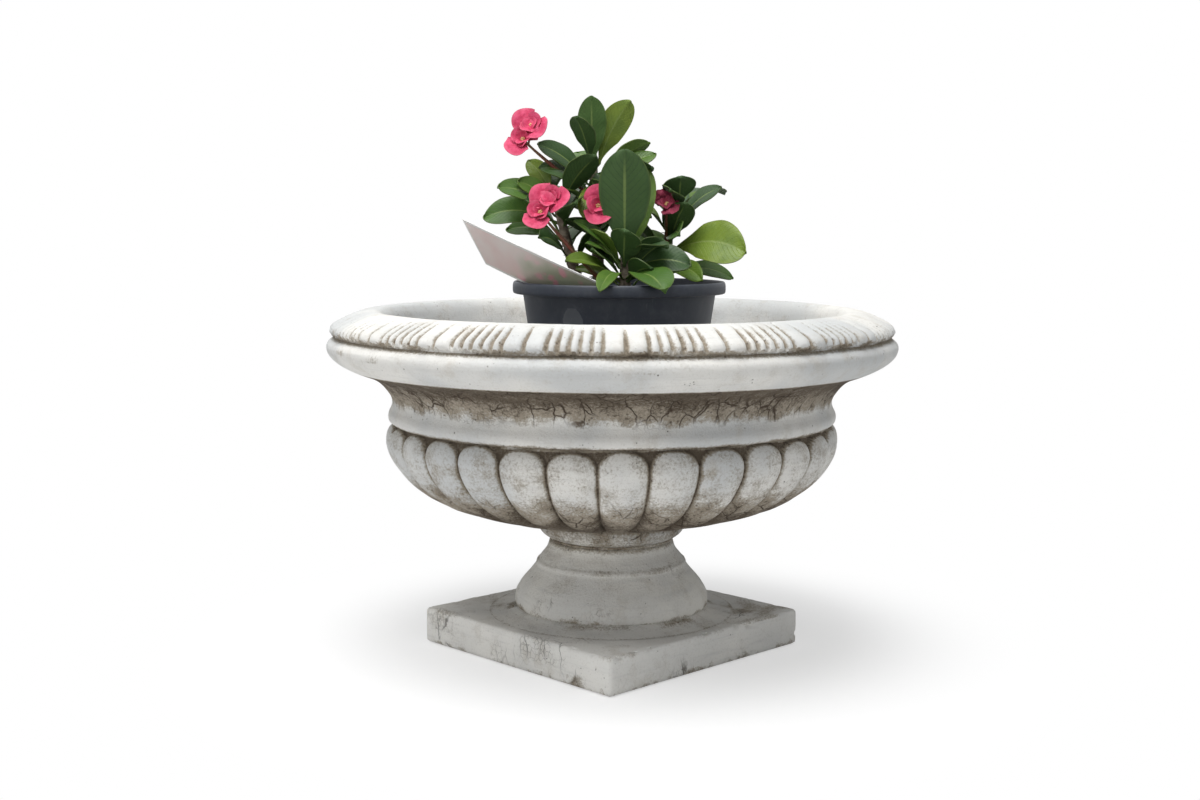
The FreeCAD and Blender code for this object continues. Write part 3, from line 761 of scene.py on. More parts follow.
POT_CENTRE = polar(7.0, 45.0)
POT_RIM = 367.0
SOIL_Z = 349.0
OVAL_TURN = 286.5  # the blank oval faces the front left
OVAL_Z = 330.0
OVAL_HALF_WIDTH = 10.5
OVAL_HALF_HEIGHT = 14.5

pot_outline = [(0.6, BOWL_FLOOR), (30, BOWL_FLOOR), (58, BOWL_FLOOR), (66.2, 166.2), (68.2, 168.4)]
pot_outline += [(69, 174), (75, 216), (82, 265)]
pot_outline += [(88.6 + 0.1525 * (h - 310), h) for h in range(310, 354, 2)] + [(95.4, 354.6)]
pot_collar = [(98.4, 355.2), (103.6, 355.2), (105.1, 356.4), (105.5, 359.5), (105.3, 364.4)]
pot_collar += [(104.4, 366.4)]
pot_lip = [(103.6, POT_RIM), (102.9, 366.4), (102.6, 364), (102.0, 359), (99, 357.6), (94.6, 356.8)]
pot_outline += through(pot_collar, 2) + through(pot_lip, 2)
pot_outline += [(93.4, 353), (90.6, 335), (80.2, 265), (73.2, 216), (67.4, 175), (65.8, 169.6)]
pot_outline += [(64, 168.0), (30, 167.8), (0.6, 167.8)]


def pot_middle(height):
    """The radius halfway through the wall."""
    return 68.6 + (95.4 - 69.5) * (height - 170) / 184


def pot_shape(turn, radius, height, x, y):
    """Thin plastic: the rim is a little out of round and dips where it has been held. The
    oval stands out from the wall."""
    high = between(height, 180, 360)
    twofold, threefold = math.radians(2 * turn + 40), math.radians(3 * turn + 100)
    sag = 0.35 * math.sin(twofold) + 0.25 * math.sin(threefold) - 0.6
    scuff = 0.5 + 0.5 * rough(x, y, height, 24)
    if 70 < radius and 170 < height < 353:
        along = ((turn - OVAL_TURN + 180) % 360 - 180) * math.radians(1) * 93
        inside = 1.25 - math.hypot(along / OVAL_HALF_WIDTH, (height - OVAL_Z) / OVAL_HALF_HEIGHT)
        if radius > pot_middle(height):
            radius += 0.55 * between(inside, 0.0, 0.18)
            scuff = max(scuff, 2.0 * between(inside, 0.1, 0.2))
    return radius + high * sag * 0.5, height + 0.5 * high * sag, scuff, 0.0


def nursery_pot():
    """A thin turned pot, with six drain slots through its heel."""
    pot = turned("moulded_pot", pot_outline, 360)
    carve(pot, pot_shape)
    move(pot, POT_CENTRE)
    slots = []
    for turn in range(30, 390, 60):
        spot = POT_CENTRE + polar(72, turn, BOWL_FLOOR + 3.1)
        stand = {"size": 1, "location": spot * MM, "rotation": (0, 0, math.radians(turn))}
        slots.append(added(bpy.ops.mesh.primitive_cube_add, "slot", **stand))
        slots[-1].scale = (24 * MM, 12 * MM, 9.8 * MM)
    cut_with(pot, joined("slots", slots))
    smooth(pot, 35)
    return pot


def heap_shape(turn, radius, height, x, y):
    """Lumpy where it shows."""
    lumps = 1.3 * rough(x, y, 0, 11) + 1.1 * rough(x, y, 30, 4.5)
    if height < 347:
        return radius, height, 0.0, 0.0
    return radius + 0.4 * rough(x, y, 9, 6), height - 1.2 + lumps, 0.0, 0.0


def loose_bit(dice):
    """A chip of bark, or a grain of white grit, lying on the compost."""
    out = 86 * math.sqrt(dice.random())
    spot = polar(out, dice.uniform(0, 360), SOIL_Z - dice.uniform(0.2, 2.2))
    grit = dice.random() < 0.16
    long = dice.uniform(1.6, 2.6) if grit else dice.uniform(3.5, 9)
    wide, thick = long * dice.uniform(0.45, 0.8), long * dice.uniform(0.2, 0.4)
    if grit:
        bit = added(bpy.ops.mesh.primitive_ico_sphere_add, "grit", subdivisions=2, radius=1)
        wide, thick = long * 0.9, long * 0.8
    else:
        bit = added(bpy.ops.mesh.primitive_cube_add, "chip", size=1.6)
        edit()
        bpy.ops.mesh.bevel(offset=0.32, segments=2, affect="EDGES")
        done()
    turn = Matrix.Rotation(dice.uniform(0, 6.3), 4, "Z") @ Matrix.Rotation(dice.uniform(-0.5, 0.5), 4, "X")
    size = Matrix.Diagonal((long * MM / 2, wide * MM / 2, thick * MM / 2, 1))
    bit.matrix_world = Matrix.Translation(spot * MM) @ turn @ size
    paint(bit, "grime_and_shade", [1.0 if grit else dice.uniform(0.1, 0.6)])
    return bit


def potting_mix():
    """Coarse bark compost, level with the pot's shoulder."""
    outline = [(0.5, 168.2), (40, 168.2), (65.2, 168.4), (66.4, 172), (79.8, 265), (91.8, 346)]
    outline += [(92.0, 347.2)] + [(90.6 - 3.9 * i, 348.2) for i in range(23)] + [(2.4, 348.2)]
    heap = turned("bark_compost", outline, 150)
    carve(heap, heap_shape)
    dice = random.Random(5)
    whole = joined("bark_compost", [heap] + [loose_bit(dice) for _ in range(210)])
    settle(whole)
    move(whole, POT_CENTRE)
    smooth(whole, 50)
    return whole


# ---------------------------------------------------------------- plant

STEM_ROOT_RADIUS = 7.0
STEM_TIP_RADIUS = 4.5
LEAF_ARCH = 0.13
LEAF_ROWS = 30
LEAF_COLUMNS = 15
STALK_RADIUS = 1.5
BRACT_RADIUS = 11.5
PAIR_DISTANCE = 16.0  # between the two flowers of a pair
SUNNY_SIDE = 315.7  # degrees
WHORL = 137.5  # degrees from each leaf or thorn to the next round a stem
FILLING_LEAVES = 11
FILLING_TINTS = (0.05, 0.55, 0.12, 0.30, 0.75, 0.08, 0.62, 0.20)

# Each stem: its place in the compost (out, direction), its lean and direction, its length;
# leaves: how far up, turn, rise, roll, length, width, tint from dark to yellow green;
# stalks: how far up, turn, rise, length, flowers, 1 where they have dried.
STEMS = (
    (
        (24, 189, 3, 239, 137),
        (
            (0.66, 262, 24, 10, 52, 28, 0.62),
            (0.78, 61, 33, -40, 70, 24, 0.60),
            (0.82, 72, 39, 62, 71, 22, 0.70),
            (0.82, 236, 39, 50, 66, 26, 0.12),
            (0.84, 304, -38, 10, 56, 16, 0.85),
            (0.91, 341, -26, -20, 42, 30, 0.05),
            (0.94, 305, 87, 0, 71, 29, 0.30),
            (0.96, 51, 64, 78, 72, 30, 0.95),
        ),
        ((0.76, 240, 38, 82, 2, 0), (0.52, 318, 26, 44, 1, 0)),
    ),
    (
        (33, 325, 4, 306, 44),
        (
            (0.50, 300, -4, 10, 84, 18, 0.62),
            (0.44, 261, 21, 30, 66, 24, 0.75),
            (0.86, 313, 84, 0, 109, 50, 0.10),
            (0.52, 340, -4, -8, 82, 38, 0.42),
            (0.72, 258, 36, 20, 46, 20, 0.55),
            (0.72, 31, 5, -50, 60, 32, 0.10),
            (0.81, 97, 74, -40, 99, 34, 0.66),
            (0.86, 234, 44, 30, 60, 22, 0.50),
        ),
        ((0.10, 245, 46, 110, 2, 0),),
    ),
    (
        (40, 79, 15, 45, 100),
        (
            (0.24, 40, -1, -40, 69, 22, 0.55),
            (0.28, 346, -5, -50, 70, 20, 0.68),
            (0.48, 11, 1, -62, 87, 46, 0.82),
            (0.62, 323, 6, -50, 46, 24, 0.30),
            (0.84, 61, 47, -20, 35, 26, 0.66),
            (0.96, 318, 53, -10, 35, 34, 0.08),
        ),
        ((0.56, 312, 60, 44, 1, 1),),
    ),
    (
        (37, 222, 15, 237, 107),
        (
            (0.42, 283, 24, 50, 49, 26, 0.12),
            (0.57, 211, 10, 50, 58, 22, 0.40),
            (0.73, 229, 5, 62, 73, 30, 0.48),
            (0.79, 265, 24, 40, 40, 24, 0.10),
            (0.88, 246, 36, 60, 44, 22, 0.62),
            (0.96, 186, 50, 60, 50, 20, 0.78),
        ),
        (),
    ),
)


def stem_point(place, at):
    out, direction, lean, to, length = place
    slope = math.radians(lean)
    way = polar(math.sin(slope), to) + UP * math.cos(slope)
    return POT_CENTRE + polar(out, direction, SOIL_Z) + way * (length * at)


def stem_radius(at):
    return STEM_ROOT_RADIUS + (STEM_TIP_RADIUS - STEM_ROOT_RADIUS) * at


def directions(turn, rise, roll=0.0):
    """Along the piece, to its side, square to its face, and its upper side unrolled."""
    rise, roll = math.radians(rise), math.radians(roll)
    away = polar(1.0, turn)
    along = away * math.cos(rise) + UP * math.sin(rise)
    level = away.cross(UP)
    upper = level.cross(along)
    side = level * math.cos(roll) + upper * math.sin(roll)
    return away, along, side, side.cross(along), upper


def root_of(place, at, away, out=0.0):
    """On the side of the stem, that far out from its bark."""
    return stem_point(place, at) + away * (stem_radius(at) + out)


def aim(piece, middle, way):
    """Stands the piece with its middle there and its Z along the way."""
    turn = way.to_track_quat("Z", "Y").to_matrix().to_4x4()
    piece.matrix_world = Matrix.Translation(middle * MM) @ turn


def blade_width(share):
    """A leaf's width along it: a narrow foot, widest past the middle, a round tip."""
    swell = abs(math.sin(math.pi * min(1.0, share) ** 1.7)) ** 0.5
    return max(swell * min(1.0, 0.35 + 1.6 * share), 0.10 if share < 0.9 else 0.0)


def leaf_blade(place, leaf, number):
    """A cupped and rippled leaf with a sunk midrib, whose tip bends down."""
    at, turn, rise, roll, length, width, tint = leaf
    away, along, side, face, upper = directions(turn, rise, roll)
    root = root_of(place, at, away, 0.3)
    arch = 4 * LEAF_ARCH * length * math.cos(math.radians(rise))
    dice = random.Random(number)
    curl = dice.uniform(-0.02, 0.05)
    waves, phase = dice.uniform(2.2, 3.6), dice.uniform(0, 6.3)
    cup = dice.uniform(0.05, 0.13)
    grid = {"x_subdivisions": LEAF_ROWS, "y_subdivisions": LEAF_COLUMNS, "size": 2}
    blade = added(bpy.ops.mesh.primitive_grid_add, "leaf", **grid)
    shares, sides = [], []
    for vertex in blade.data.vertices:
        share, across = math.sin((vertex.co.x + 1) * math.pi / 4) ** 1.15, -vertex.co.y
        half = width / 2 * blade_width(share)
        middle = root + along * (0.98 * length * share) + upper * (arch * share * (1 - share))
        edge = abs(across)
        fold = cup * width * (edge - 0.55) - 0.05 * width * max(0.0, edge - 0.7)
        vein = -0.5 * max(0.0, 1 - edge * half / 1.6)
        beat = math.sin(waves * 2 * math.pi * share + phase + across)
        ripple = 0.5 * edge**2 * beat * min(1.0, width / 25)
        tip = -curl * length * max(0.0, share - 0.6) ** 2 * 4
        lift = fold * min(1.0, share * 3) + vein + ripple * (1 - share * 0.4)
        if share <= 0.02:
            lift *= 0.5
        if share < 0.01:
            middle -= away * 1.6
        vertex.co = (middle + side * (half * across) + face * (lift + tip - 0.6)) * MM
        shares.append(share)
        sides.append(across)
    finish_with(blade, "SOLIDIFY", thickness=1.0 * MM, offset=-1.0)
    below = len(blade.data.vertices) - len(shares)
    paint(blade, "along", shares)
    paint(blade, "across", sides)
    paint(blade, "under", [0.0] * len(shares) + [1.0] * below)
    paint(blade, "tint", [tint])
    return blade


def filling(place, number):
    """Lesser leaves that close the gaps round a stem, clear of the label and the rim."""
    dice = random.Random(300 + number)
    leaves = []
    for i in range(FILLING_LEAVES):
        at = 0.30 + 0.68 * i / (FILLING_LEAVES - 1)
        turn = (WHORL * i + 75 * number) % 360
        rise, roll = dice.uniform(12, 52), dice.uniform(-45, 45)
        length, width = dice.uniform(40, 62), dice.uniform(25, 33)
        tint = FILLING_TINTS[(i + 3 * number) % len(FILLING_TINTS)]
        away, along = directions(turn, rise)[:2]
        ends = [root_of(place, at, away) + along * (length * share) for share in (0.5, 0.8, 1.0)]
        clear = all((end - POT_CENTRE).xy.length < 84 or end.z > 434 for end in ends)
        if clear and ends[-1].z < 530:
            leaves.append((at, turn, rise, roll, length, width, tint))
    return leaves


def thorn(spot, way, long):
    cone = {"vertices": 7, "radius1": 0.85 * MM, "radius2": 0.12 * MM, "depth": long * MM}
    spine = added(bpy.ops.mesh.primitive_cone_add, "thorn", **cone)
    aim(spine, spot + way * (long / 2 - 0.8), way)
    return spine


def woody_stem(place, number):
    """A ringed stem, with thorns all the way up."""
    length = place[-1]
    dice = random.Random(100 + number)
    steps = 25
    outline = [(0.4, -1.5), (STEM_ROOT_RADIUS, -1.5)]
    outline += [(stem_radius(i / steps), i / steps * (length - 4)) for i in range(steps + 1)]
    outline += [(4.1, length - 2.4), (3.1, length - 0.9), (1.6, length - 0.1), (0.4, length)]
    stem = turned("stem", outline, 26)

    def bark(turn, radius, height, x, y):
        if radius < 1:
            return radius, height, 0.0, 0.0
        rings = 0.3 * math.sin(height * 0.9 + 2 * rough(x, y, height + 40 * number, 10))
        return radius + 0.55 * rough(x, y, height + 90 * number, 6) + rings - 0.5, height, 0.0, 0.0

    carve(stem, bark)
    way = (stem_point(place, 1) - stem_point(place, 0)).normalized()
    aim(stem, stem_point(place, 0), way)
    pieces = [stem]
    for i in range(int(length / 4.6)):
        at = (i + 0.6) / (length / 4.6)
        away = polar(1.0, WHORL * i + 40 * number)
        spot = stem_point(place, at) + away * (stem_radius(at) - 0.4)
        point = (away + UP * dice.uniform(0.1, 0.5)).normalized()
        pieces.append(thorn(spot, point, dice.uniform(5, 8.5)))
    return pieces


def stalk_line(place, stalk):
    """Where the stalk starts, and its directions along, sideways and upwards."""
    at, turn, rise = stalk[:3]
    away, along, side, _, upper = directions(turn, rise)
    return root_of(place, at, away, 0.3 + STALK_RADIUS * along.z), along, side, upper


def flower_stalk(place, stalk):
    """A thin stalk, sunk in the bark, with a knot where it forks and one at its tip."""
    root, along, side, upper = stalk_line(place, stalk)
    length = stalk[3]
    sunk, steps = 3.0, 18
    outline = [(0.3, -sunk)]
    for i in range(steps + 1):
        outline.append((STALK_RADIUS * (1.15 - 0.35 * i / steps), -sunk + (length + sunk) * i / steps))
    outline += [(0.3, length)]
    piece = turned("stalk", outline, 14)
    for vertex in piece.data.vertices:
        x, y, z = vertex.co / MM
        share = max(0.0, min(1.0, z / length))
        fork, tip = max(0.0, 1 - abs(share - 0.55) * 18), max(0.0, 1 - abs(share - 0.97) * 20)
        knot = 1 + 0.35 * fork + 0.25 * tip
        bow = 4 * share * (1 - share)
        spot = root + along * z + side * (x * knot + 0.012 * length * bow)
        vertex.co = (spot + upper * (y * knot - 0.02 * length * bow)) * MM
    face_out(piece)
    return piece


def pedicel(start, end):
    """The short stalk of a pair's second flower."""
    size = {"vertices": 12, "radius": 1.1 * MM, "depth": (end - start).length * MM}
    piece = added(bpy.ops.mesh.primitive_cylinder_add, "pedicel", **size)
    aim(piece, (start + end) / 2, end - start)
    return piece


def bract(radius, number):
    """A broad rounded bract, cupped and wavy, from its notch out along +X."""
    dice = random.Random(number)
    grid = {"x_subdivisions": 14, "y_subdivisions": 18, "size": 2}
    petal = added(bpy.ops.mesh.primitive_grid_add, "bract", **grid)
    phase, waves = dice.uniform(0, 6.3), dice.uniform(2.5, 4)
    shares = []
    for vertex in petal.data.vertices:
        u, v = (vertex.co.x + 1) / 2, vertex.co.y
        turn = v * 1.95 * (1 - 0.12 * u)
        reach = radius * u * (1.62 + 0.26 * math.cos(turn * 2) - 0.10 * abs(v) ** 3)
        x, y = reach * math.cos(turn * 0.62), reach * math.sin(turn * 0.80)
        ripple = 0.13 * radius * u**2 * math.sin(waves * turn + phase)
        lift = 0.42 * radius * u**2 - 0.34 * radius * max(0, u - 0.7) * 2 + ripple
        vertex.co = Vector((x, y, lift)) * MM
        shares.append(u)
    finish_with(petal, "SOLIDIFY", thickness=0.5 * MM, offset=0.0)
    paint(petal, "along", shares)
    paint(petal, "tint", [0.0])
    return petal


# A flower's bracts: their turn, their share of the full radius and their tilt.
BRACTS = ((0, 1.0, 22), (180, 1.0, 22), (82, 0.66, 48), (266, 0.62, 52), (40, 0.45, 62), (215, 0.48, 60))


def flower(number, dried):
    """Two large bracts side by side with two small ones across them and cream nectaries
    in the middle. It looks along +Z, and its large bracts lie along X."""
    parts = []
    size = BRACT_RADIUS * (0.72 if dried else 1.0)
    for i, (turn, share, tilt) in enumerate(BRACTS):
        petal = bract(size * share, number * 10 + i)
        lifted = Matrix.Translation((0, 0, (0.4 + 0.5 * (i // 2)) * MM))
        petal.matrix_world = lifted @ (rotation(turn, "Z") @ rotation(-tilt * 0.6, "Y"))
        parts.append(petal)
    for i in range(6):
        spot = polar(1.5 if i else 0, 72 * i, 3.0 if i else 3.8)
        ball = {"segments": 10, "ring_count": 6, "radius": 1.0 * MM, "location": spot * MM}
        bead = added(bpy.ops.mesh.primitive_uv_sphere_add, "nectary", **ball)
        paint(bead, "along", [0.0])
        paint(bead, "tint", [1.0])
        parts.append(bead)
    whole = joined("flower", parts)
    settle(whole)
    if dried:
        for vertex in whole.data.vertices:
            x, y, z = vertex.co / MM
            crumple = Vector((rough(x, y, z, 4), rough(y, z, x, 4), rough(z, x, y + 30, 4))) * 2.2
            vertex.co = Vector((x, y, z)) * MM + crumple * MM
    paint(whole, "dried", [float(dried)])
    return whole


def stand_flower(whole, middle, along, upper, roll):
    """Turns the flower from its stalk's line towards the light, and says where it faces."""
    facing = (along * 0.45 + polar(0.9, SUNNY_SIDE) + UP * 0.25).normalized()
    side = upper.cross(facing).normalized()
    stance = Matrix((side, facing.cross(side), facing)).transposed().to_4x4()
    whole.matrix_world = Matrix.Translation(middle * MM) @ stance @ rotation(roll, "Z")
    return facing


def plant():
    """Stems with their leaves, stalks and flowers, joined by kind."""
    leaves, stems, stalks, flowers = [], [], [], []
    for number, (place, stem_leaves, stem_stalks) in enumerate(STEMS):
        stems += woody_stem(place, number)
        for leaf in stem_leaves + tuple(filling(place, number)):
            leaves.append(leaf_blade(place, leaf, len(leaves)))
        for stalk in stem_stalks:
            length, count, dried = stalk[3:]
            stalks.append(flower_stalk(place, stalk))
            root, along, _, upper = stalk_line(place, stalk)
            tip = root + along * length
            for i in range(count):
                whole = flower(len(flowers) + 1, dried)
                middle = tip + along * (0.8 + 2.0 * i) + upper * (i * PAIR_DISTANCE)
                facing = stand_flower(whole, middle, along, upper, 90 * (1 - i) + 20 * number)
                if i:
                    stalks.append(pedicel(tip - along * 5.0, middle - facing * 0.3))
                flowers.append(whole)
    for name, node, pieces, slot, look, angle in (
        ("thorny_stems", "stems", stems, "bark", bark_look(), 60),
        ("leaf_blades", "leaves", leaves, "leaf", leaf_look(), 70),
        ("forked_stalks", "flower_stalks", stalks, "stalk", stalk_look(), 60),
        ("rose_flowers", "flowers", flowers, "bract", bract_look(), 60),
    ):
        whole = joined(name, pieces)
        settle(whole)
        smooth(whole, angle)
        dress(whole, node, "potted_plant", look)


# ---------------------------------------------------------------- label

LABEL_LENGTH = 156.0
LABEL_WIDTH = 45.0
LABEL_SLANT = 28.0  # how much shorter its lower edge is
STAKE_LENGTH = 29.4


def plant_label():
    """A blank laminated card on a stake, with its free end curling a little."""
    _, along, side, face, _ = directions(205.0, 22.2, 127.0)
    corner = POT_CENTRE + polar(97.0, 305.6, POT_RIM + 1.0)
    lean = math.radians(27.0)
    pull = along * math.sin(lean) + side * math.cos(lean)
    low = corner - side * LABEL_WIDTH
    grid = {"x_subdivisions": 60, "y_subdivisions": 20, "size": 2}
    card = added(bpy.ops.mesh.primitive_grid_add, "label_card", **grid)
    lengths, widths = [], []
    for vertex in card.data.vertices:
        u, v = (vertex.co.x + 1) / 2, (vertex.co.y + 1) / 2
        x, y = (LABEL_LENGTH - LABEL_SLANT * (1 - v)) * u, LABEL_WIDTH * (v - 1)
        curl = -1.6 * max(0.0, u - 0.45) ** 2 * 4 + 0.5 * math.sin(3.1 * v) * (u - 0.3)
        vertex.co = (corner + along * x + side * y + face * curl * 0.8) * MM
        lengths.append(u)
        widths.append(v)
    finish_with(card, "SOLIDIFY", thickness=0.6 * MM, offset=0.0)
    stake = added(bpy.ops.mesh.primitive_cube_add, "label_stake", size=1)
    edit()
    bpy.ops.mesh.subdivide(number_cuts=4)
    done()
    for vertex in stake.data.vertices:
        x, y, z = vertex.co.x + 0.5, vertex.co.y + 0.5, vertex.co.z
        down = STAKE_LENGTH * y - 3.0
        taper = 1 - 0.5 * max(0.0, y - 0.1) ** 1.5
        width = 14.4 * (x - 0.5) * taper + 7.6 + 7.0 * (1 - y) * 0.2
        spot = low + along * (width + 0.2 + 0.26 * down) - pull * (down * 0.97)
        vertex.co = (spot + face * (0.55 * z)) * MM
    for piece, along_it, across_it in ((card, lengths, widths), (stake, [0.5], [0.0])):
        paint(piece, "along", along_it)
        paint(piece, "across", across_it)
    whole = joined("plant_label_card", [card, stake])
    settle(whole)
    smooth(whole)
    return whole


# ---------------------------------------------------------------- materials of plant, pot and label


def leaf_look():
    stuff = Stuff("leathery_leaf")
    along, across, under = stuff.layer("along"), stuff.layer("across"), stuff.layer("under")
    tint = stuff.layer("tint")
    edge = across.math("ABSOLUTE")
    mottle = stuff.noise(60.0)
    fine = stuff.noise(900.0, 3.0)
    green = stuff.blend(tint.ramp(0.0, 0.5), colour(0.009, 0.034, 0.012), colour(0.055, 0.130, 0.014))
    green = stuff.blend(tint.ramp(0.5, 1.0), green, colour(0.235, 0.310, 0.030))
    green = stuff.blend(mottle.ramp(0.35, 0.7) * 0.35, green, colour(0.022, 0.070, 0.014))
    side_veins = (along * 15.0 - edge * 3.4).math("FRACT")
    side_veins = (side_veins - 0.5).math("ABSOLUTE").ramp(0.5, 0.40) * edge.ramp(1.0, 0.75)
    green = stuff.blend(side_veins * 0.20, green, colour(0.10, 0.19, 0.04))
    green = stuff.blend(edge.ramp(0.88, 1.0) * 0.30, green, colour(0.16, 0.20, 0.04))
    rib = edge.ramp(0.075, 0.02) * along.ramp(1.0, 0.7)
    green = stuff.blend(rib * 0.55, green, colour(0.26, 0.34, 0.10))
    green = stuff.blend(under * 0.22, green, colour(0.085, 0.14, 0.045))
    old = (mottle.ramp(0.66, 0.74) * stuff.noise(25.0, 1.0).ramp(0.55, 0.7)) * along.ramp(0.6, 1.0)
    green = stuff.blend(old * 0.8, green, colour(0.23, 0.13, 0.05))
    stuff.set(Base_Color=green, Roughness=0.34 + mottle * 0.16 + under * 0.2, Specular_IOR_Level=0.32)
    stuff.relief((side_veins, 0.00014), (fine, 0.00006), (mottle, 0.0007))
    return stuff.material


def bark_look():
    stuff = Stuff("stem_bark")
    rings = stuff.noise(1.0, place=stuff.stretched(120, 120, 420))
    mottle = stuff.noise(170.0)
    bark = stuff.blend(mottle.ramp(0.35, 0.65), colour(0.11, 0.085, 0.06), colour(0.24, 0.205, 0.16))
    bark = stuff.blend(rings.ramp(0.55, 0.7) * 0.6, bark, colour(0.06, 0.045, 0.03))
    stuff.set(Base_Color=bark, Roughness=0.85)
    stuff.relief((rings, 0.0006), (mottle, 0.0005))
    return stuff.material


def stalk_look():
    stuff = Stuff("flower_stalk")
    mottle = stuff.noise(220.0, 3.0)
    skin = stuff.blend(mottle.ramp(0.35, 0.7), colour(0.20, 0.045, 0.03), colour(0.16, 0.11, 0.04))
    stuff.set(Base_Color=skin, Roughness=0.5)
    stuff.relief((mottle, 0.0002), (stuff.noise(1200.0, 2.0), 0.00005))
    return stuff.material


def bract_look():
    stuff = Stuff("rose_bract")
    along, tint, dried = stuff.layer("along"), stuff.layer("tint"), stuff.layer("dried")
    mottle = stuff.noise(190.0)
    rose = stuff.blend(mottle.ramp(0.3, 0.7), colour(0.52, 0.030, 0.095), colour(0.70, 0.085, 0.185))
    # Painted shade: darker towards the bract's base, in the flower's cup.
    rose = stuff.blend(along.ramp(0.25, 0.0) * 0.7, rose, colour(0.36, 0.012, 0.05))
    rose = stuff.blend(along.ramp(0.8, 1.0) * 0.3, rose, colour(0.78, 0.20, 0.29))
    rose = stuff.blend(dried * 0.85, rose, colour(0.20, 0.025, 0.05))
    rose = stuff.blend(tint, rose, colour(0.72, 0.50, 0.24))
    stuff.set(Base_Color=rose, Roughness=0.6 + mottle * 0.15, Specular_IOR_Level=0.3)
    stuff.relief((mottle, 0.0004), (stuff.noise(900.0, 3.0), 0.00008))
    return stuff.material


def plastic_look():
    """Slate-dark moulded polypropylene, scuffed and dusty, with a paler oval."""
    stuff = Stuff("dark_slate_plastic")
    scuff = stuff.layer("grime_and_shade")
    dust = stuff.noise(45.0, 5.0, 0.65)
    scratches = stuff.noise(1.0, 3.0, place=stuff.stretched(700, 700, 30))
    grain = stuff.noise(2400.0, 2.0)
    body = stuff.blend(dust.ramp(0.4, 0.75) * 0.5, colour(0.020, 0.026, 0.040), colour(0.062, 0.068, 0.080))
    body = stuff.blend(scratches.ramp(0.62, 0.75) * scuff * 0.35, body, colour(0.13, 0.13, 0.135))
    body = stuff.blend(scuff.ramp(1.3, 1.7) * 0.6, body, colour(0.10, 0.11, 0.125))
    stuff.set(Base_Color=body, Roughness=0.36 + dust * 0.22, Specular_IOR_Level=0.4)
    stuff.relief((grain, 0.00003), (dust, 0.0001))
    return stuff.material


def compost_look():
    stuff = Stuff("bark_compost")
    chip = stuff.layer("grime_and_shade")
    mottle = stuff.noise(240.0, 5.0, 0.7)
    soil = stuff.blend(mottle.ramp(0.35, 0.7), colour(0.018, 0.012, 0.008), colour(0.075, 0.048, 0.03))
    soil = stuff.blend(chip.ramp(0.0, 0.6) * 0.8, soil, colour(0.12, 0.075, 0.045))
    soil = stuff.blend(chip.ramp(0.9, 1.0), soil, colour(0.66, 0.64, 0.60))
    stuff.set(Base_Color=soil, Roughness=0.95)
    stuff.relief((mottle, 0.0012), (stuff.noise(1300.0, 2.0), 0.0002))
    return stuff.material


def card_look():
    """A white margin round a pale blush, with soft rose and green flecks low down."""
    stuff = Stuff("blank_label_card")
    along, across = stuff.layer("along"), stuff.layer("across")
    margin = along.least(1.0 - along).ramp(0.010, 0.016) * across.least(1.0 - across).ramp(0.045, 0.06)
    soft = stuff.noise(28.0, 2.0)
    petals = stuff.cells(75.0, "F1", stuff.wobbled(60.0, 0.01)).ramp(0.5, 0.25)
    wash = stuff.blend(petals, colour(0.30, 0.36, 0.20), colour(0.74, 0.26, 0.32))
    low_end = ((1.0 - along) * 1.1 + (1.0 - across) * 0.5 + (soft - 0.5) * 0.7).ramp(0.55, 0.95)
    blush = stuff.blend(soft.ramp(0.3, 0.7), colour(0.80, 0.62, 0.60), colour(0.84, 0.76, 0.73))
    blush = stuff.blend(low_end * 0.75, blush, wash)
    scuffs = stuff.noise(300.0).ramp(0.55, 0.8)
    body = stuff.blend(margin, colour(0.84, 0.83, 0.81), blush)
    body = stuff.blend(scuffs * 0.12, body, colour(0.6, 0.55, 0.5))
    stuff.set(Base_Color=body, Roughness=0.32 + scuffs * 0.2, Coat_Weight=0.2)
    stuff.relief((soft, 0.0006), (scuffs, 0.00003))
    return stuff.material


dress(nursery_pot(), "nursery_pot", "potted_plant", plastic_look())
dress(potting_mix(), "potting_mix", "potted_plant", compost_look())
plant()
dress(plant_label(), "plant_label", "plant_label", card_look())


# ---------------------------------------------------------------- floor, light and camera

SKY_STRENGTH = 0.38
VIEW_TURN = 45.7  # degrees
VIEW_DIP = 6.636
VIEW_TILT = 0.137
CAMERA_BACK, CAMERA_LEFT, CAMERA_UP = 1.5636, 0.0118, 0.430  # metres
LENS = 47.25


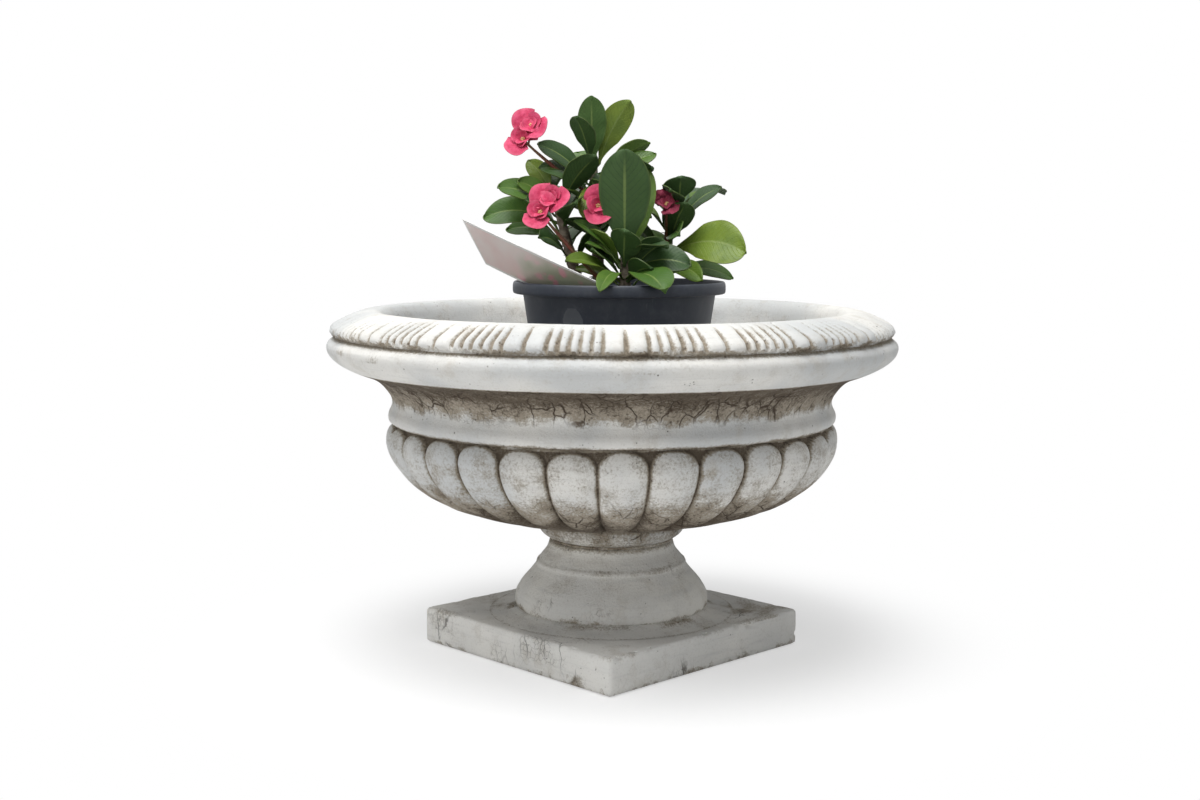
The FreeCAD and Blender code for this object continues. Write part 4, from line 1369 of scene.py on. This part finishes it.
def pale_floor():
    """White to the camera, but for the soft shadow near the plinth."""
    stuff = Stuff("pale_floor")
    camera = stuff.node("ShaderNodeLightPath", out="Is Camera Ray")
    shade = stuff.blend(camera, colour(0.8, 0.8, 0.8), colour(0.55, 0.55, 0.55))
    glow = stuff.blend(camera, colour(0, 0, 0), colour(0.5, 0.5, 0.5))
    stuff.set(Base_Color=shade, Roughness=0.9, Specular_IOR_Level=0.0)
    stuff.set(Emission_Color=glow, Emission_Strength=1.0)
    away = stuff.vector("LENGTH", {0: stuff.place}, "Value")
    white = stuff.node("ShaderNodeEmission", {}, {"Color": WHITE, "Strength": 1.0})
    near = Wire(stuff, stuff.shader.outputs[0])
    stuff.mix(away.ramp(0.20, 0.46) * camera, near, white, "Material Output")
    return stuff.material


def soft_daylight():
    """A dim sky, which the camera and the reflections see as plain white."""
    world = bpy.data.worlds.new("soft_daylight")
    world.use_nodes = True
    air = Nodes(world.node_tree)
    camera = air.node("ShaderNodeLightPath", out="Is Camera Ray")
    glossy = air.node("ShaderNodeLightPath", out="Is Glossy Ray")
    passing = air.node("ShaderNodeLightPath", out="Is Transmission Ray")
    sky = {"Color": colour(0.965, 0.985, 1.0), "Strength": SKY_STRENGTH}
    dim = air.node("ShaderNodeBackground", {}, sky)
    white = air.node("ShaderNodeBackground", {}, {"Color": WHITE, "Strength": 1.0})
    air.mix(camera.most(glossy.most(passing)), dim, white, "World Output")
    return world


def lamp(name, place, target, size, power):
    light = bpy.data.lights.new(name, "AREA")
    light.shape = "DISK"
    light.size = size
    light.energy = power
    made = bpy.data.objects.new(name, light)
    bpy.context.collection.objects.link(made)
    made.location = place
    made.rotation_euler = (Vector(target) - place).to_track_quat("-Z", "Y").to_euler()


floor = added(bpy.ops.mesh.primitive_plane_add, "floor", size=60, location=(0, 0, -0.0004))
bpy.ops.object.transform_apply(location=True)
floor.data.materials.append(pale_floor())

right = polar(1.0, VIEW_TURN)
towards = Vector((right.y, -right.x, 0))
lamp("sky_lamp", right * -0.35 + towards * 0.6 + UP * 2.35, (0, 0, 0.25), 1.8, 52)
lamp("front_lamp", right * -1.6 + towards * 1.8 + UP * 0.6, (0, 0, 0.05), 1.4, 4.5)

lens = bpy.data.cameras.new("camera")
lens.lens = LENS
lens.sensor_width = 36.0
lens.clip_end = 100
camera = bpy.data.objects.new("camera", lens)
bpy.context.collection.objects.link(camera)
spot = Matrix.Translation(towards * CAMERA_BACK + right * -CAMERA_LEFT + UP * CAMERA_UP)
level = rotation(VIEW_TURN, "Z") @ rotation(90 - VIEW_DIP, "X")
camera.matrix_world = spot @ level @ rotation(VIEW_TILT, "Z")
scene = bpy.context.scene
scene.camera = camera
scene.world = soft_daylight()
scene.view_settings.view_transform = "Standard"
